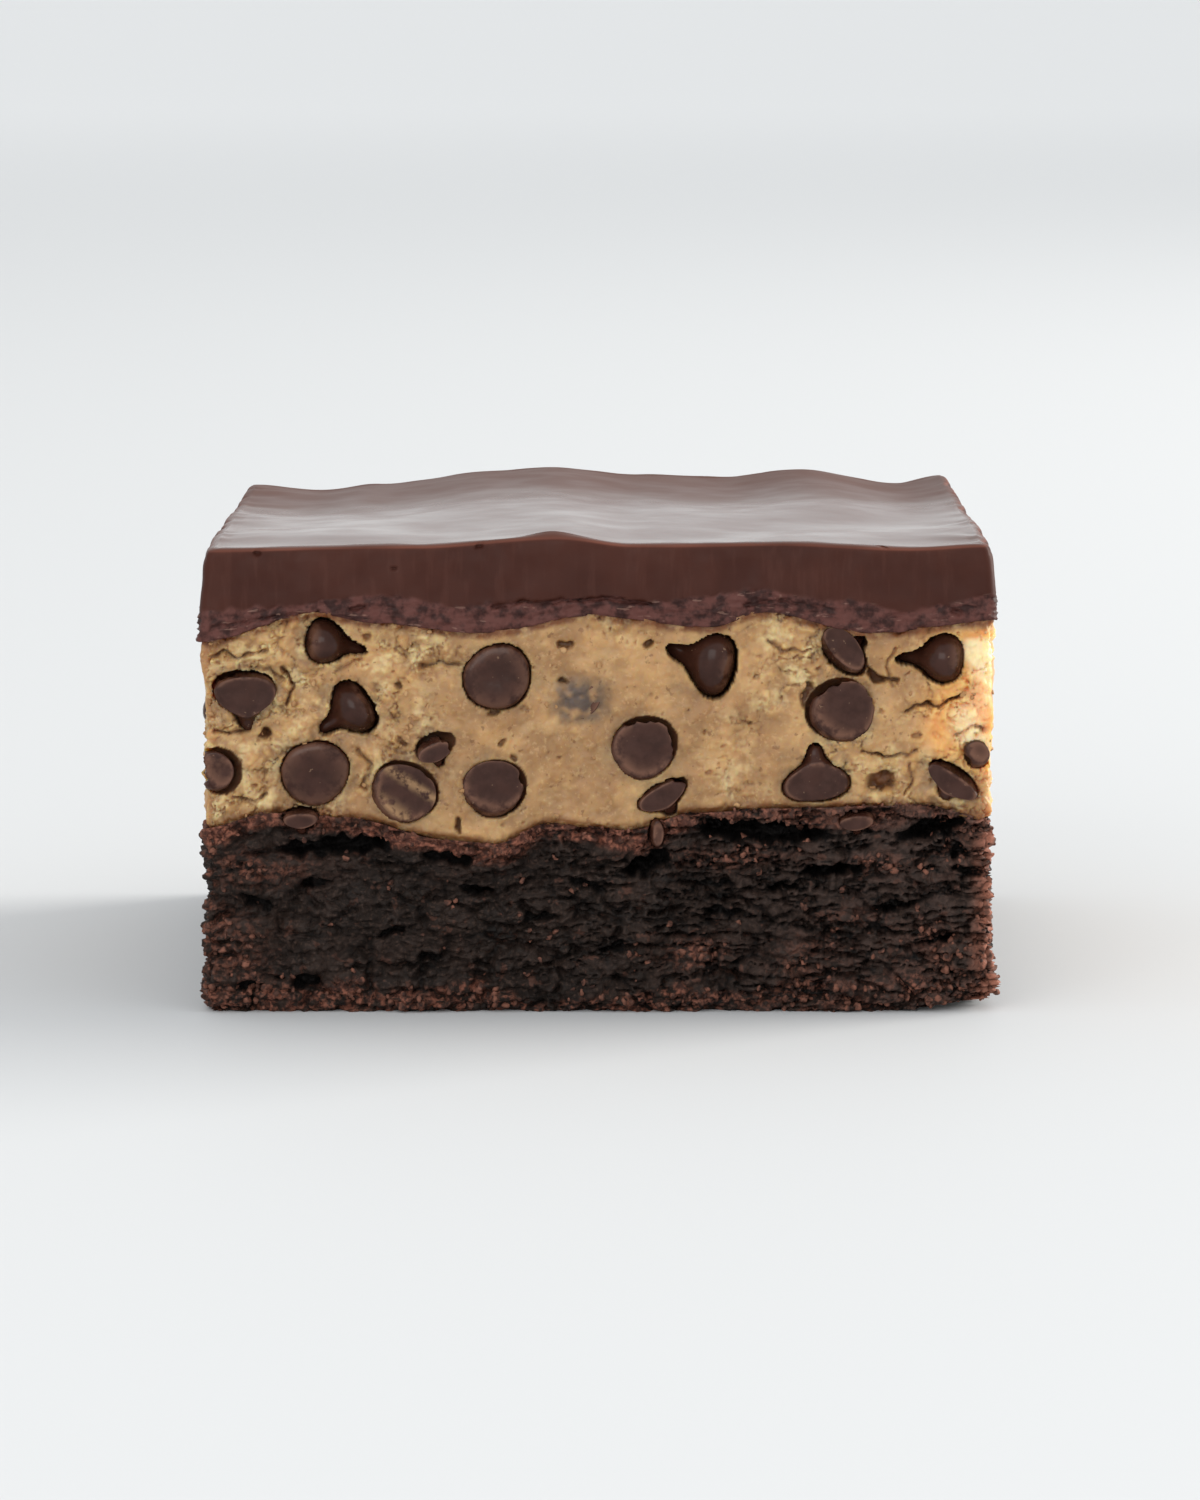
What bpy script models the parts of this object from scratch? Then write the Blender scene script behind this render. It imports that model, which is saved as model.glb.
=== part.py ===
"""Cookie dough brownie: one square cut from a tray, with a fudgy base, a dough layer full of small
chocolate chips and a set ganache on top. Metres, +Z up, the origin under its centre, and the cut face
that shows best towards -Y."""

import math
import random

import bmesh
import bpy
from mathutils import Matrix, Vector, noise

MM = 0.001

# The square, in millimetres. A 203 mm tray cut in three each way gives 68 mm.
FACE = 34.3  # from the centre to a cut face
BROWNIE_HIGH = 17.0
DOUGH_TOP_HIGH = 34.2
GAP = 0.3  # between two pieces that lie on or in each other
COLUMNS = 36  # cells along each side, the same in every layer, so that the layers' edges match
COARSE_CELLS, FINE_CELLS = 6, 12  # cells each way over a layer's floor or roof, both divide COLUMNS
CAP_INSET = 3.0
FRONT_REACH = 9.0  # how far in from the front face the edges drawn below hold
SIDES = 4

# Each layer's outline from its floor to its roof: (share of its height, distance from the centre).
BROWNIE_SIDE = [
    (0.0, 34.1), (0.08, 34.8), (0.18, 34.6), (0.34, 34.4),
    (0.5, 34.3), (0.66, 34.3), (0.82, 34.4), (1.0, 34.4),
]
DOUGH_SIDE = [(0.0, 34.4), (0.3, 34.1), (0.7, 34.1), (1.0, 34.4)]
GANACHE_SIDE = [(0.0, 34.5), (0.35, 34.4), (0.85, 34.0), (1.0, 33.6)]

# The three wavy edges on the front face, and the ganache's back rim: (x, height) of each bend.
DOUGH_FLOOR_FRONT = [
    (-34.5, 16.1), (-28.2, 17.5), (-22.0, 17.1), (-12.8, 15.1), (-9.0, 14.8), (-4.0, 16.6),
    (2.8, 16.0), (8.2, 17.5), (15.1, 17.9), (27.6, 18.2), (34.5, 16.9),
]
DOUGH_TOP_FRONT = [
    (-34.4, 32.5), (-24.0, 35.0), (-19.3, 34.2), (-10.2, 33.3), (-0.6, 34.8),
    (9.6, 33.8), (14.0, 35.1), (23.4, 33.3), (34.4, 34.4),
]
GANACHE_FRONT = [
    (-34.0, 40.4), (-16.0, 40.7), (-3.6, 41.5), (3.1, 40.8), (16.4, 40.9), (27.6, 40.5), (34.0, 40.8),
]
GANACHE_BACK = [
    (-34.0, 40.4), (-27.0, 39.9), (-21.3, 40.6), (-9.6, 41.8), (-4.7, 42.1),
    (4.1, 41.3), (11.9, 41.0), (20.0, 41.9), (29.4, 40.5), (34.0, 41.1),
]

CRUMBLY_FOOT = 3.5  # up to here the crumbs stand out more
LIFTED_FOOT = 1.1  # the front right foot doesn't touch what the square stands on
LIFT_STARTS = 25.0

# Hollows under the thin top crust of the base: (x, height, width, tall, deep, tilt in degrees).
CRUST_HOLLOWS = [
    (-22.5, 14.6, 10.0, 1.3, 2.6, 3),
    (-13.0, 13.4, 4.6, 0.9, 1.8, -8),
    (4.2, 13.1, 4.4, 1.4, 2.4, 24),
    (14.6, 15.9, 13.5, 1.5, 3.2, -3),
    (20.6, 12.6, 5.6, 0.9, 2.0, 2),
    (29.2, 16.2, 6.4, 1.4, 2.6, 14),
]
HOLLOWS_ON_OTHER_SIDES = 4
HOLLOW_DEEP = 2.4

# A chip: a flat round base, a shoulder and a drawn-out tip. (share of the radius, share of the height).
CHIP_PROFILE = [(0.86, 0.0), (1.0, 0.2), (0.46, 0.64)]
CHIP_SEGMENTS = 8
CHIP_MIDDLE = 0.4  # share of its height from its base to the point that it is placed by
CUT_PROUD = 0.1  # a chip that the knife went through stands this far out of the face
SEAT_OPEN = 1.0  # a whole chip's seat is open to the face, and its cutter reaches this far past it

# Chips on the front face: x, height, diameter, base to tip, how far its middle lies behind the face,
# the way its tip points (right, into the dough, up), and whether the knife went through it.
FRONT_CHIPS = [
    (-23.3, 32.2, 4.1, 5.3, 1.8, (1.0, 0.25, -0.15), False),
    (-30.5, 27.5, 5.4, 5.0, 0.6, (0.05, 0.35, -1.0), True),
    (-21.7, 26.3, 5.0, 5.2, 2.1, (-0.83, -0.05, -0.52), False),
    (-24.5, 21.0, 5.8, 4.2, 1.6, (0.0, 1.0, 0.06), False),
    (-33.1, 21.2, 3.6, 3.2, 0.8, (0.3, 0.9, 0.1), True),
    (-25.8, 16.8, 3.3, 2.0, 0.6, (0.05, 0.25, -1.0), True),
    (-8.7, 29.3, 5.8, 4.2, 1.6, (0.04, 1.0, -0.05), False),
    (-14.1, 22.8, 3.4, 2.3, 0.5, (0.35, 0.4, -0.85), True),
    (-16.8, 19.3, 5.6, 4.8, 0.9, (0.25, 1.0, 0.2), True),
    (-9.1, 19.8, 5.4, 4.8, 0.9, (0.1, 0.9, 0.35), True),
    (-1.4, 27.3, 3.8, 3.4, 0.9, (0.3, 0.9, -0.3), True),
    (9.3, 30.4, 5.5, 6.3, 2.3, (-0.97, 0.05, 0.2), False),
    (3.9, 23.1, 5.6, 4.6, 0.9, (0.1, 1.0, 0.15), True),
    (5.6, 18.8, 4.8, 2.9, 0.6, (0.5, 0.2, -0.86), True),
    (5.2, 15.7, 2.5, 1.7, 0.6, (1.0, 0.3, 0.0), True),
    (21.3, 31.9, 4.7, 3.6, 0.8, (0.6, 0.45, 0.55), True),
    (29.4, 30.9, 4.3, 5.9, 1.9, (-1.0, 0.2, 0.03), False),
    (21.2, 26.4, 5.7, 4.6, 0.9, (0.15, 1.0, 0.2), True),
    (18.9, 20.5, 5.8, 5.1, 0.9, (-0.12, 0.1, 1.0), True),
    (30.6, 20.1, 5.0, 2.5, 0.6, (-0.55, 0.3, -0.8), True),
    (32.8, 22.7, 2.5, 2.4, 0.6, (0.3, 0.9, 0.4), True),
    (22.4, 16.6, 3.3, 2.0, 0.6, (0.1, 0.3, -1.0), True),
]

# Chips on the other three faces: one in each cell of a loose grid, drawn at random between these limits.
CHIP_COLUMNS, CHIP_ROWS = 5, 2
CHIPS_ON_OTHER_SIDES = CHIP_COLUMNS * CHIP_ROWS
CHIP_FARTHEST_ALONG = 31.0
CHIP_LOWEST, CHIP_HIGHEST = 20.6, 30.6
ROW_OVERLAP = 1.2  # the two rows of the grid share this much height
CHIP_SMALLEST, CHIP_LARGEST = 4.6, 5.8
CHIP_FLATTEST, CHIP_TALLEST = 0.75, 1.05  # base to tip over diameter
WHOLE_PROUD = 0.3
BASE_OUTWARDS, ON_ITS_SIDE = 0.3, 0.6  # up to here of the draw a chip shows its base, or its whole side
DRAWS = 20  # tries for each chip
SCATTER_SEED = 42

BROWNIE_COLOUR, BROWNIE_ROUGH = (0.030, 0.016, 0.012), 0.85
DOUGH_COLOUR, DOUGH_ROUGH = (0.47, 0.27, 0.12), 0.55
GANACHE_COLOUR, GANACHE_ROUGH = (0.072, 0.026, 0.018), 0.32
CHIP_COLOUR, CHIP_ROUGH = (0.060, 0.028, 0.022), 0.40


def clear_scene():
    for obj in list(bpy.data.objects):
        bpy.data.objects.remove(obj)


def material(name, colour, roughness):
    made = bpy.data.materials.new(name)
    made.use_nodes = True
    shader = made.node_tree.nodes["Principled BSDF"]
    shader.inputs["Base Color"].default_value = (*colour, 1.0)
    shader.inputs["Roughness"].default_value = roughness
    shader.inputs["Metallic"].default_value = 0.0
    return made


def smooth(share):
    share = min(1.0, max(0.0, share))
    return share * share * (3 - 2 * share)


def mix(a, b, share):
    return a + (b - a) * share


def along(points, x):
    """The height of a wavy edge at x, eased from one of its bends to the next."""
    if x <= points[0][0]:
        return points[0][1]
    for (x0, z0), (x1, z1) in zip(points, points[1:]):
        if x <= x1:
            return mix(z0, z1, smooth((x - x0) / (x1 - x0)))
    return points[-1][1]


def rolling(x, y, length, seed):
    """A soft wave between about -1 and 1 over the square."""
    return noise.noise(Vector((x / length, y / length, seed))) * 1.8


def front_share(y):
    return 1 - smooth((y + FACE) / FRONT_REACH)


def dough_floor(x, y):
    inside = BROWNIE_HIGH + 1.0 * rolling(x, y, 13, 3.7)
    return mix(inside, along(DOUGH_FLOOR_FRONT, x), front_share(y))


def dough_top(x, y):
    inside = DOUGH_TOP_HIGH + 0.9 * rolling(x, y, 11, 8.2)
    return mix(inside, along(DOUGH_TOP_FRONT, x), front_share(y))


def ganache_top(x, y):
    back = smooth((y + FACE) / (2 * FACE))
    inside = mix(along(GANACHE_FRONT, x), along(GANACHE_BACK, x), back)
    return inside + 0.25 * rolling(x, y, 15, 5.1) * (1 - front_share(y))


def foot(x, y):
    reach = FACE - LIFT_STARTS
    return LIFTED_FOOT * smooth((x - LIFT_STARTS) / reach) * smooth((-y - LIFT_STARTS) / reach)


def brownie_relief(x, y, z):
    """Crags of the baked crumb: coarse lumps, and ledges that run level round the sides."""
    lumps = 0.55 * noise.noise(Vector((x / 3.1, y / 3.1, z / 2.2)))
    ledges = 0.75 * noise.noise(Vector((x / 6.0, y / 6.0, z / 1.9 + 20)))
    crumbs = 0.9 * noise.noise(Vector((x / 2.3, y / 2.3, 80))) * (1 - smooth(z / CRUMBLY_FOOT))
    return lumps + ledges + crumbs


def dough_relief(x, y, z):
    return 0.22 * noise.noise(Vector((x / 5.0, y / 5.0, z / 4.0 + 40)))


def ganache_relief(x, y, z):
    return 0.08 * noise.noise(Vector((x / 9.0, y / 9.0, z / 6.0 + 60)))


def turned(x, y, side):
    """A point of the front side carried round to side 0 front, 1 right, 2 back or 3 left."""
    for _ in range(side):
        x, y = -y, x
    return x, y


def height_mix(floor, roof, share, x, y):
    return mix(floor(x, y), roof(x, y), share)


def side_ring(bm, share, distance, floor, roof, relief):
    """One closed row of points round the square, counter-clockwise from the front left corner."""
    ring = []
    for side in range(SIDES):
        for column in range(COLUMNS):
            x, y = turned(mix(-distance, distance, column / COLUMNS), -distance, side)
            z = height_mix(floor, roof, share, x, y)
            out = 1 + relief(x, y, z) / distance
            ring.append(bm.verts.new(Vector((x * out, y * out, z)) * MM))
    return ring


def cap(bm, ring, height, distance, cells):
    """Closes a ring with a grid of few cells, and a fan of triangles from its border to the ring."""
    inset = distance - CAP_INSET
    steps = [mix(-inset, inset, n / cells) for n in range(cells + 1)]
    grid = [[bm.verts.new(Vector((x, y, height(x, y))) * MM) for x in steps] for y in steps]
    for j in range(cells):
        for i in range(cells):
            bm.faces.new((grid[j][i], grid[j][i + 1], grid[j + 1][i + 1], grid[j + 1][i]))
    border = [grid[0][n] for n in range(cells)] + [grid[n][cells] for n in range(cells)]
    border += [grid[cells][cells - n] for n in range(cells)] + [grid[cells - n][0] for n in range(cells)]
    span = COLUMNS // cells
    middle = (span + 1) // 2
    for n, a in enumerate(border):
        b = border[(n + 1) % len(border)]
        edge = [ring[(n * span + k) % len(ring)] for k in range(span + 1)]
        for k in range(span):
            bm.faces.new((edge[k], edge[k + 1], a if k < middle else b))
        bm.faces.new((a, edge[middle], b))


def layer(name, side, floor, roof, relief, floor_cells, roof_cells, made_of):
    """One layer that runs through the square, between two wavy surfaces."""
    bm = bmesh.new()
    rings = [side_ring(bm, share, distance, floor, roof, relief) for share, distance in side]
    for low, high in zip(rings, rings[1:]):
        for n in range(len(low)):
            after = (n + 1) % len(low)
            bm.faces.new((low[n], low[after], high[after], high[n]))
    cap(bm, rings[0], floor, side[0][1], floor_cells)
    cap(bm, rings[-1], roof, side[-1][1], roof_cells)
    return finished(name, bm, made_of)


def finished(name, bm, made_of=None):
    """A closed mesh with its faces pointing out, as an object."""
    bmesh.ops.recalc_face_normals(bm, faces=bm.faces)
    mesh = bpy.data.meshes.new(name)
    bm.to_mesh(mesh)
    bm.free()
    obj = bpy.data.objects.new(name, mesh)
    bpy.context.scene.collection.objects.link(obj)
    if made_of:
        mesh.materials.append(made_of)
    return obj


def chip_mesh(diameter, tall, tip, grow=0.0):
    """A chip about its own middle, its tip along the given way. grow widens it all round."""
    radius = diameter / 2 + grow
    tall += 2 * grow
    bm = bmesh.new()
    rows = []
    for share, high in CHIP_PROFILE:
        z = (high - CHIP_MIDDLE) * tall
        row = []
        for n in range(CHIP_SEGMENTS):
            angle = 2 * math.pi * n / CHIP_SEGMENTS
            row.append(bm.verts.new((share * radius * math.cos(angle), share * radius * math.sin(angle), z)))
        rows.append(row)
    for low, high in zip(rows, rows[1:]):
        for n in range(CHIP_SEGMENTS):
            after = (n + 1) % CHIP_SEGMENTS
            bm.faces.new((low[n], low[after], high[after], high[n]))
    bm.faces.new(reversed(rows[0]))
    end = bm.verts.new((0, 0, (1 - CHIP_MIDDLE) * tall))
    for n in range(CHIP_SEGMENTS):
        bm.faces.new((rows[-1][n], rows[-1][(n + 1) % CHIP_SEGMENTS], end))
    turn = Vector((0, 0, 1)).rotation_difference(Vector(tip).normalized()).to_matrix()
    bmesh.ops.rotate(bm, verts=bm.verts, matrix=turn)
    return bm


def slice_off(bm, point, normal):
    """Cuts away what lies beyond a plane and closes the cut."""
    cut = bmesh.ops.bisect_plane(bm, geom=bm.verts[:] + bm.edges[:] + bm.faces[:], dist=1e-6,
                                 plane_co=point, plane_no=normal, clear_outer=True)
    edges = [g for g in cut["geom_cut"] if isinstance(g, bmesh.types.BMEdge)]
    if edges:
        bmesh.ops.holes_fill(bm, edges=edges, sides=0)


def placed(bm, x, z, behind, side):
    """Moves a chip from its own middle to its place on one side of the square, in metres."""
    bmesh.ops.translate(bm, verts=bm.verts, vec=Vector((x, -FACE + behind, z)))
    bmesh.ops.rotate(bm, verts=bm.verts, cent=(0, 0, 0), matrix=Matrix.Rotation(side * math.pi / 2, 3, "Z"))
    bmesh.ops.scale(bm, verts=bm.verts, vec=(MM, MM, MM))


def opened(bm, behind):
    """Widens a whole chip's seat all the way to the face, so that the chip lies in it in full view."""
    hull = bmesh.new()
    for vert in bm.verts:
        hull.verts.new(vert.co)
        if vert.co.y < 0:
            hull.verts.new((vert.co.x, -behind - SEAT_OPEN, vert.co.z))
    bm.free()
    made = bmesh.ops.convex_hull(hull, input=hull.verts)
    inner = {g for g in made["geom_interior"] + made["geom_unused"] if isinstance(g, bmesh.types.BMVert)}
    bmesh.ops.delete(hull, geom=list(inner), context="VERTS")
    return hull


def chip(name, spec, side, made_of):
    """A chip, and the wider copy of it that hollows out its seat."""
    x, z, diameter, tall, behind, tip, knifed = spec
    body = chip_mesh(diameter, tall, tip)
    if knifed:
        slice_off(body, Vector((0, -behind - CUT_PROUD, 0)), Vector((0, -1, 0)))
    reach = FACE + CUT_PROUD
    if abs(x) + diameter / 2 > reach:
        outwards = math.copysign(1, x)
        slice_off(body, Vector((outwards * (reach - abs(x)), 0, 0)), Vector((outwards, 0, 0)))
    placed(body, x, z, behind, side)
    seat = chip_mesh(diameter, tall, tip, GAP)
    if not knifed:
        seat = opened(seat, behind)
    placed(seat, x, z, behind, side)
    cutter = finished(name + "_seat", seat)
    return finished(name, body, made_of), cutter


def middle_of(spec, side):
    x, z, _, _, behind, _, _ = spec
    return Vector((*turned(x, -FACE + behind, side), z))


def drawn_chip(draw, column, row):
    """One chip at random in its cell: its base outwards, its whole side outwards, or cut through."""
    kind = draw.random()
    diameter = draw.uniform(CHIP_SMALLEST, CHIP_LARGEST)
    tall = diameter * draw.uniform(CHIP_FLATTEST, CHIP_TALLEST)
    turn = draw.uniform(0, 2 * math.pi)
    if kind < BASE_OUTWARDS:
        tip, behind, knifed = (0.1 * math.cos(turn), 1.0, 0.1 * math.sin(turn)), CHIP_MIDDLE * tall, False
    elif kind < ON_ITS_SIDE:
        tip, behind, knifed = (math.cos(turn), 0.1, math.sin(turn)), diameter / 2 - WHOLE_PROUD, False
    else:
        tip, knifed = (math.cos(turn), draw.uniform(0.2, 1.4), math.sin(turn)), True
        behind = draw.uniform(0.6, 1.1)
    cell = 2 * CHIP_FARTHEST_ALONG / CHIP_COLUMNS
    x = -CHIP_FARTHEST_ALONG + cell * (column + draw.random())
    row_high = (CHIP_HIGHEST - CHIP_LOWEST) / CHIP_ROWS
    z = CHIP_LOWEST + row_high * row + draw.uniform(0, row_high) + ROW_OVERLAP * (0.5 - row)
    return x, z, diameter, tall, behind, tip, knifed


def scattered_chips():
    """Chips for the right, back and left faces: of a few draws, the one farthest from its neighbours."""
    draw = random.Random(SCATTER_SEED)
    middles = [middle_of(spec, 0) for spec in FRONT_CHIPS]
    found = []
    for n in range((SIDES - 1) * CHIPS_ON_OTHER_SIDES):
        side = 1 + n // CHIPS_ON_OTHER_SIDES
        column, row = divmod(n % CHIPS_ON_OTHER_SIDES, CHIP_ROWS)
        tries = [drawn_chip(draw, column, row) for _ in range(DRAWS)]
        room = [min((middle_of(spec, side) - other).length for other in middles) for spec in tries]
        spec = tries[room.index(max(room))]
        middles.append(middle_of(spec, side))
        found.append((spec, side))
    return found


def crust_hollow(name, x, z, width, tall, deep, tilt, side):
    """A flat lens that opens through a face, to cut the gap under the crust."""
    bm = bmesh.new()
    bmesh.ops.create_icosphere(bm, subdivisions=1, radius=1.0)
    bmesh.ops.scale(bm, verts=bm.verts, vec=(width / 2, deep, tall / 2))
    bmesh.ops.rotate(bm, verts=bm.verts, cent=(0, 0, 0), matrix=Matrix.Rotation(-math.radians(tilt), 3, "Y"))
    placed(bm, x, z, 0.0, side)
    return finished(name, bm)


def crust_hollows():
    draw = random.Random(SCATTER_SEED + 1)
    specs = [(spec, 0) for spec in CRUST_HOLLOWS]
    for side in range(1, SIDES):
        for n in range(HOLLOWS_ON_OTHER_SIDES):
            x = -26 + 52 * (n + draw.uniform(0.1, 0.6)) / HOLLOWS_ON_OTHER_SIDES
            z = draw.choice((14.4, 14.8, 12.4))
            width = draw.uniform(4.5, 9.5)
            tall = draw.uniform(0.9, 1.3)
            specs.append(((x, z, width, tall, HOLLOW_DEEP, draw.uniform(-6, 6)), side))
    return [crust_hollow(f"hollow_{n}", *spec, side) for n, (spec, side) in enumerate(specs)]


def cut_out(obj, cutters):
    """Cuts every given shape from a layer, and hides the shapes."""
    group = bpy.data.collections.new(obj.name + "_cuts")
    bpy.context.scene.collection.children.link(group)
    for cutter in cutters:
        group.objects.link(cutter)
        cutter.hide_render = True
        cutter.display_type = "WIRE"
    cut = obj.modifiers.new("Cuts", "BOOLEAN")
    cut.operation = "DIFFERENCE"
    cut.operand_type = "COLLECTION"
    cut.collection = group
    cut.solver = "EXACT"


def top_of(cutter):
    return max(v.co.z for v in cutter.data.vertices) / MM


def bottom_of(cutter):
    return min(v.co.z for v in cutter.data.vertices) / MM


def main():
    clear_scene()
    crumb = material("Fudgy crumb", BROWNIE_COLOUR, BROWNIE_ROUGH)
    dough = material("Cookie dough", DOUGH_COLOUR, DOUGH_ROUGH)
    ganache = material("Set ganache", GANACHE_COLOUR, GANACHE_ROUGH)
    chocolate = material("Chocolate chip", CHIP_COLOUR, CHIP_ROUGH)

    base = layer("brownie_base", BROWNIE_SIDE, foot, lambda x, y: dough_floor(x, y) - GAP / 2,
                 brownie_relief, COARSE_CELLS, COARSE_CELLS, crumb)
    middle = layer("cookie_dough", DOUGH_SIDE, lambda x, y: dough_floor(x, y) + GAP / 2,
                   lambda x, y: dough_top(x, y) - GAP / 2, dough_relief, COARSE_CELLS, COARSE_CELLS, dough)
    top = layer("ganache_top", GANACHE_SIDE, lambda x, y: dough_top(x, y) + GAP / 2, ganache_top,
                ganache_relief, COARSE_CELLS, FINE_CELLS, ganache)

    seats = []
    for n, spec in enumerate(FRONT_CHIPS, 1):
        seats.append(chip(f"chip_front_{n:02d}", spec, 0, chocolate)[1])
    sides = ("front", "right", "back", "left")
    for n, (spec, side) in enumerate(scattered_chips()):
        number = n % CHIPS_ON_OTHER_SIDES + 1
        seats.append(chip(f"chip_{sides[side]}_{number:02d}", spec, side, chocolate)[1])

    cut_out(base, crust_hollows() + [s for s in seats if bottom_of(s) < BROWNIE_HIGH + 1.2])
    cut_out(middle, seats)
    cut_out(top, [s for s in seats if top_of(s) > DOUGH_TOP_HIGH - 1.2])


main()
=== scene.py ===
import math
import random

import bpy
import numpy as np
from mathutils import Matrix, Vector, noise
from mathutils.bvhtree import BVHTree


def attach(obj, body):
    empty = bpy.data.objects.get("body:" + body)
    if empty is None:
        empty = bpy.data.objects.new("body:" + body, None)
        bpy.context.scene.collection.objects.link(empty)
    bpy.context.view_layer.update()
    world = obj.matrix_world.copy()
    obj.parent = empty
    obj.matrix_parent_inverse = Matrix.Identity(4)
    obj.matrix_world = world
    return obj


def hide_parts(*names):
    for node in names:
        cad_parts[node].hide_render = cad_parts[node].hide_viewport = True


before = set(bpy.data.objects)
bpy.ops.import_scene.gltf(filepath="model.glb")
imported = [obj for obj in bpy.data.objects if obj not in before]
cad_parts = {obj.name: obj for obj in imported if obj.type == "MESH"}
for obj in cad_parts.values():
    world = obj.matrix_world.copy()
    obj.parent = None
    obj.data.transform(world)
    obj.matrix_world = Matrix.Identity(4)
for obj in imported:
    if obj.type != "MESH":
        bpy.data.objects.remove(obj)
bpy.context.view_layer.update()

# A cookie dough brownie: the layers are fine skins with their relief from Geometry Nodes, and the chips
# are turned and cut one by one. Sizes are in millimetres and become metres when a mesh is made.

mm = 0.001
face = 34.3  # from the centre to a cut face
sideCount = 4

square = {
    "cornerRound": 0.9,
    "splitAt": -24.0,  # a finer front slab ends here, and the rest of the layer goes on behind it
    "frontSpacing": 0.14,
    "otherSpacing": 0.29,
    "hiddenSpacing": 2.0,
    "frontReach": 9.0,  # how far in from the front face the drawn edges hold
}

# wavy edges between the layers on the front face, and the back rim: (x, height) of each bend
doughFloorFront = [
    (-34.5, 16.1), (-28.2, 17.5), (-22.0, 17.1), (-12.8, 15.1), (-9.0, 14.8), (-4.0, 16.6),
    (2.8, 16.0), (8.2, 17.5), (15.1, 17.9), (27.6, 18.2), (34.5, 16.9),
]
doughTopFront = [
    (-34.4, 32.5), (-24.0, 35.0), (-19.3, 34.2), (-10.2, 33.3), (-0.6, 34.8),
    (9.6, 33.8), (14.0, 35.1), (23.4, 33.3), (34.4, 34.4),
]
ganacheFront = [
    (-34.0, 40.4), (-16.0, 40.7), (-3.6, 41.5), (3.1, 40.8), (16.4, 40.9), (27.6, 40.5), (34.0, 40.8),
]
ganacheBack = [
    (-34.0, 40.4), (-27.0, 39.9), (-21.3, 40.6), (-9.6, 41.8), (-4.7, 42.1),
    (4.1, 41.3), (11.9, 41.0), (20.0, 41.9), (29.4, 40.5), (34.0, 41.1),
]


# plain maths on arrays


def ease(share):
    share = np.clip(share, 0.0, 1.0)
    return share * share * (3 - 2 * share)


def blend(a, b, share):
    return a + (b - a) * share


def along(points, x):  # a wavy edge's height at x, eased from bend to bend
    xs = [p[0] for p in points]
    place = np.clip(np.searchsorted(xs, x) - 1, 0, len(points) - 2)
    x0, x1 = np.take(xs, place), np.take(xs, place + 1)
    zs = [p[1] for p in points]
    z0, z1 = np.take(zs, place), np.take(zs, place + 1)
    return blend(z0, z1, ease((x - x0) / (x1 - x0)))


def softNoise(x, y, z):  # Perlin noise at arrays of points
    flat = np.broadcast_arrays(np.asarray(x, float), np.asarray(y, float), np.asarray(z, float))
    found = [noise.noise((a, b, c)) for a, b, c in zip(*(f.ravel() for f in flat))]
    return np.array(found).reshape(flat[0].shape)


def rolling(x, y, length, seed):
    return softNoise(x / length, y / length, seed) * 1.8


def frontShare(y):
    return 1 - ease((y + face) / square["frontReach"])


def doughFloor(x, y):
    return blend(17.0 + rolling(x, y, 13, 3.7), along(doughFloorFront, x), frontShare(y))


def doughTop(x, y):
    return blend(34.2 + 0.9 * rolling(x, y, 11, 8.2), along(doughTopFront, x), frontShare(y))


def ganacheTop(x, y):
    inside = blend(along(ganacheFront, x), along(ganacheBack, x), ease((y + face) / (2 * face)))
    return inside + 0.25 * rolling(x, y, 15, 5.1) * (1 - frontShare(y))


def foot(x, y):  # the front right foot is lifted a little
    starts, reach = 25.0, face - 25.0
    return 1.1 * ease((x - starts) / reach) * ease((-y - starts) / reach)


def turned(x, y, side):  # front 0, right 1, back 2, left 3
    for _ in range(side):
        x, y = -y, x
    return x, y


# the parts that node trees are laid out from


def put(tree, kind, inputs=None, **props):
    node = tree.nodes.new(kind)
    for name, value in props.items():
        setattr(node, name, value)
    for socket, value in (inputs or {}).items():
        target = node.inputs[socket]
        if isinstance(value, bpy.types.NodeSocket):
            tree.links.new(value, target)
        else:
            target.default_value = value
    return node


def calc(tree, operation, *values, clamp=False):
    node = put(tree, "ShaderNodeMath", dict(enumerate(values)), operation=operation, use_clamp=clamp)
    return node.outputs[0]


def times(tree, first, *others):
    for value in others:
        first = calc(tree, "MULTIPLY", first, value)
    return first


def minus(tree, value, other):
    return calc(tree, "SUBTRACT", value, other)


def onVector(tree, operation, vector, inputs):
    return put(tree, "ShaderNodeVectorMath", {0: vector} | inputs, operation=operation).outputs[0]


def ramped(tree, value, low, high, to=(0.0, 1.0)):  # smooth step from one value to another
    inputs = {"Value": value, "From Min": low, "From Max": high, "To Min": to[0], "To Max": to[1]}
    return put(tree, "ShaderNodeMapRange", inputs, interpolation_type="SMOOTHSTEP").outputs[0]


def cloud(tree, vector, size, detail=2.0, rough=0.55, factors=(1, 1, 1)):  # noise whose lumps are size mm
    where = onVector(tree, "MULTIPLY", vector, {1: factors})
    inputs = {"Vector": where, "Scale": 1 / (size * mm), "Detail": detail, "Roughness": rough}
    return put(tree, "ShaderNodeTexNoise", inputs).outputs[0]


def patches(tree, vector, size, low, high, detail=3.0, factors=(1, 1, 1), to=(0.0, 1.0)):
    return ramped(tree, cloud(tree, vector, size, detail, factors=factors), low, high, to)


def cells(tree, vector, size, feature="F1", factors=(1, 1, 1)):
    inputs = {"Vector": onVector(tree, "MULTIPLY", vector, {1: factors}), "Scale": 1 / (size * mm)}
    return put(tree, "ShaderNodeTexVoronoi", inputs, feature=feature).outputs["Distance"]


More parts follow.
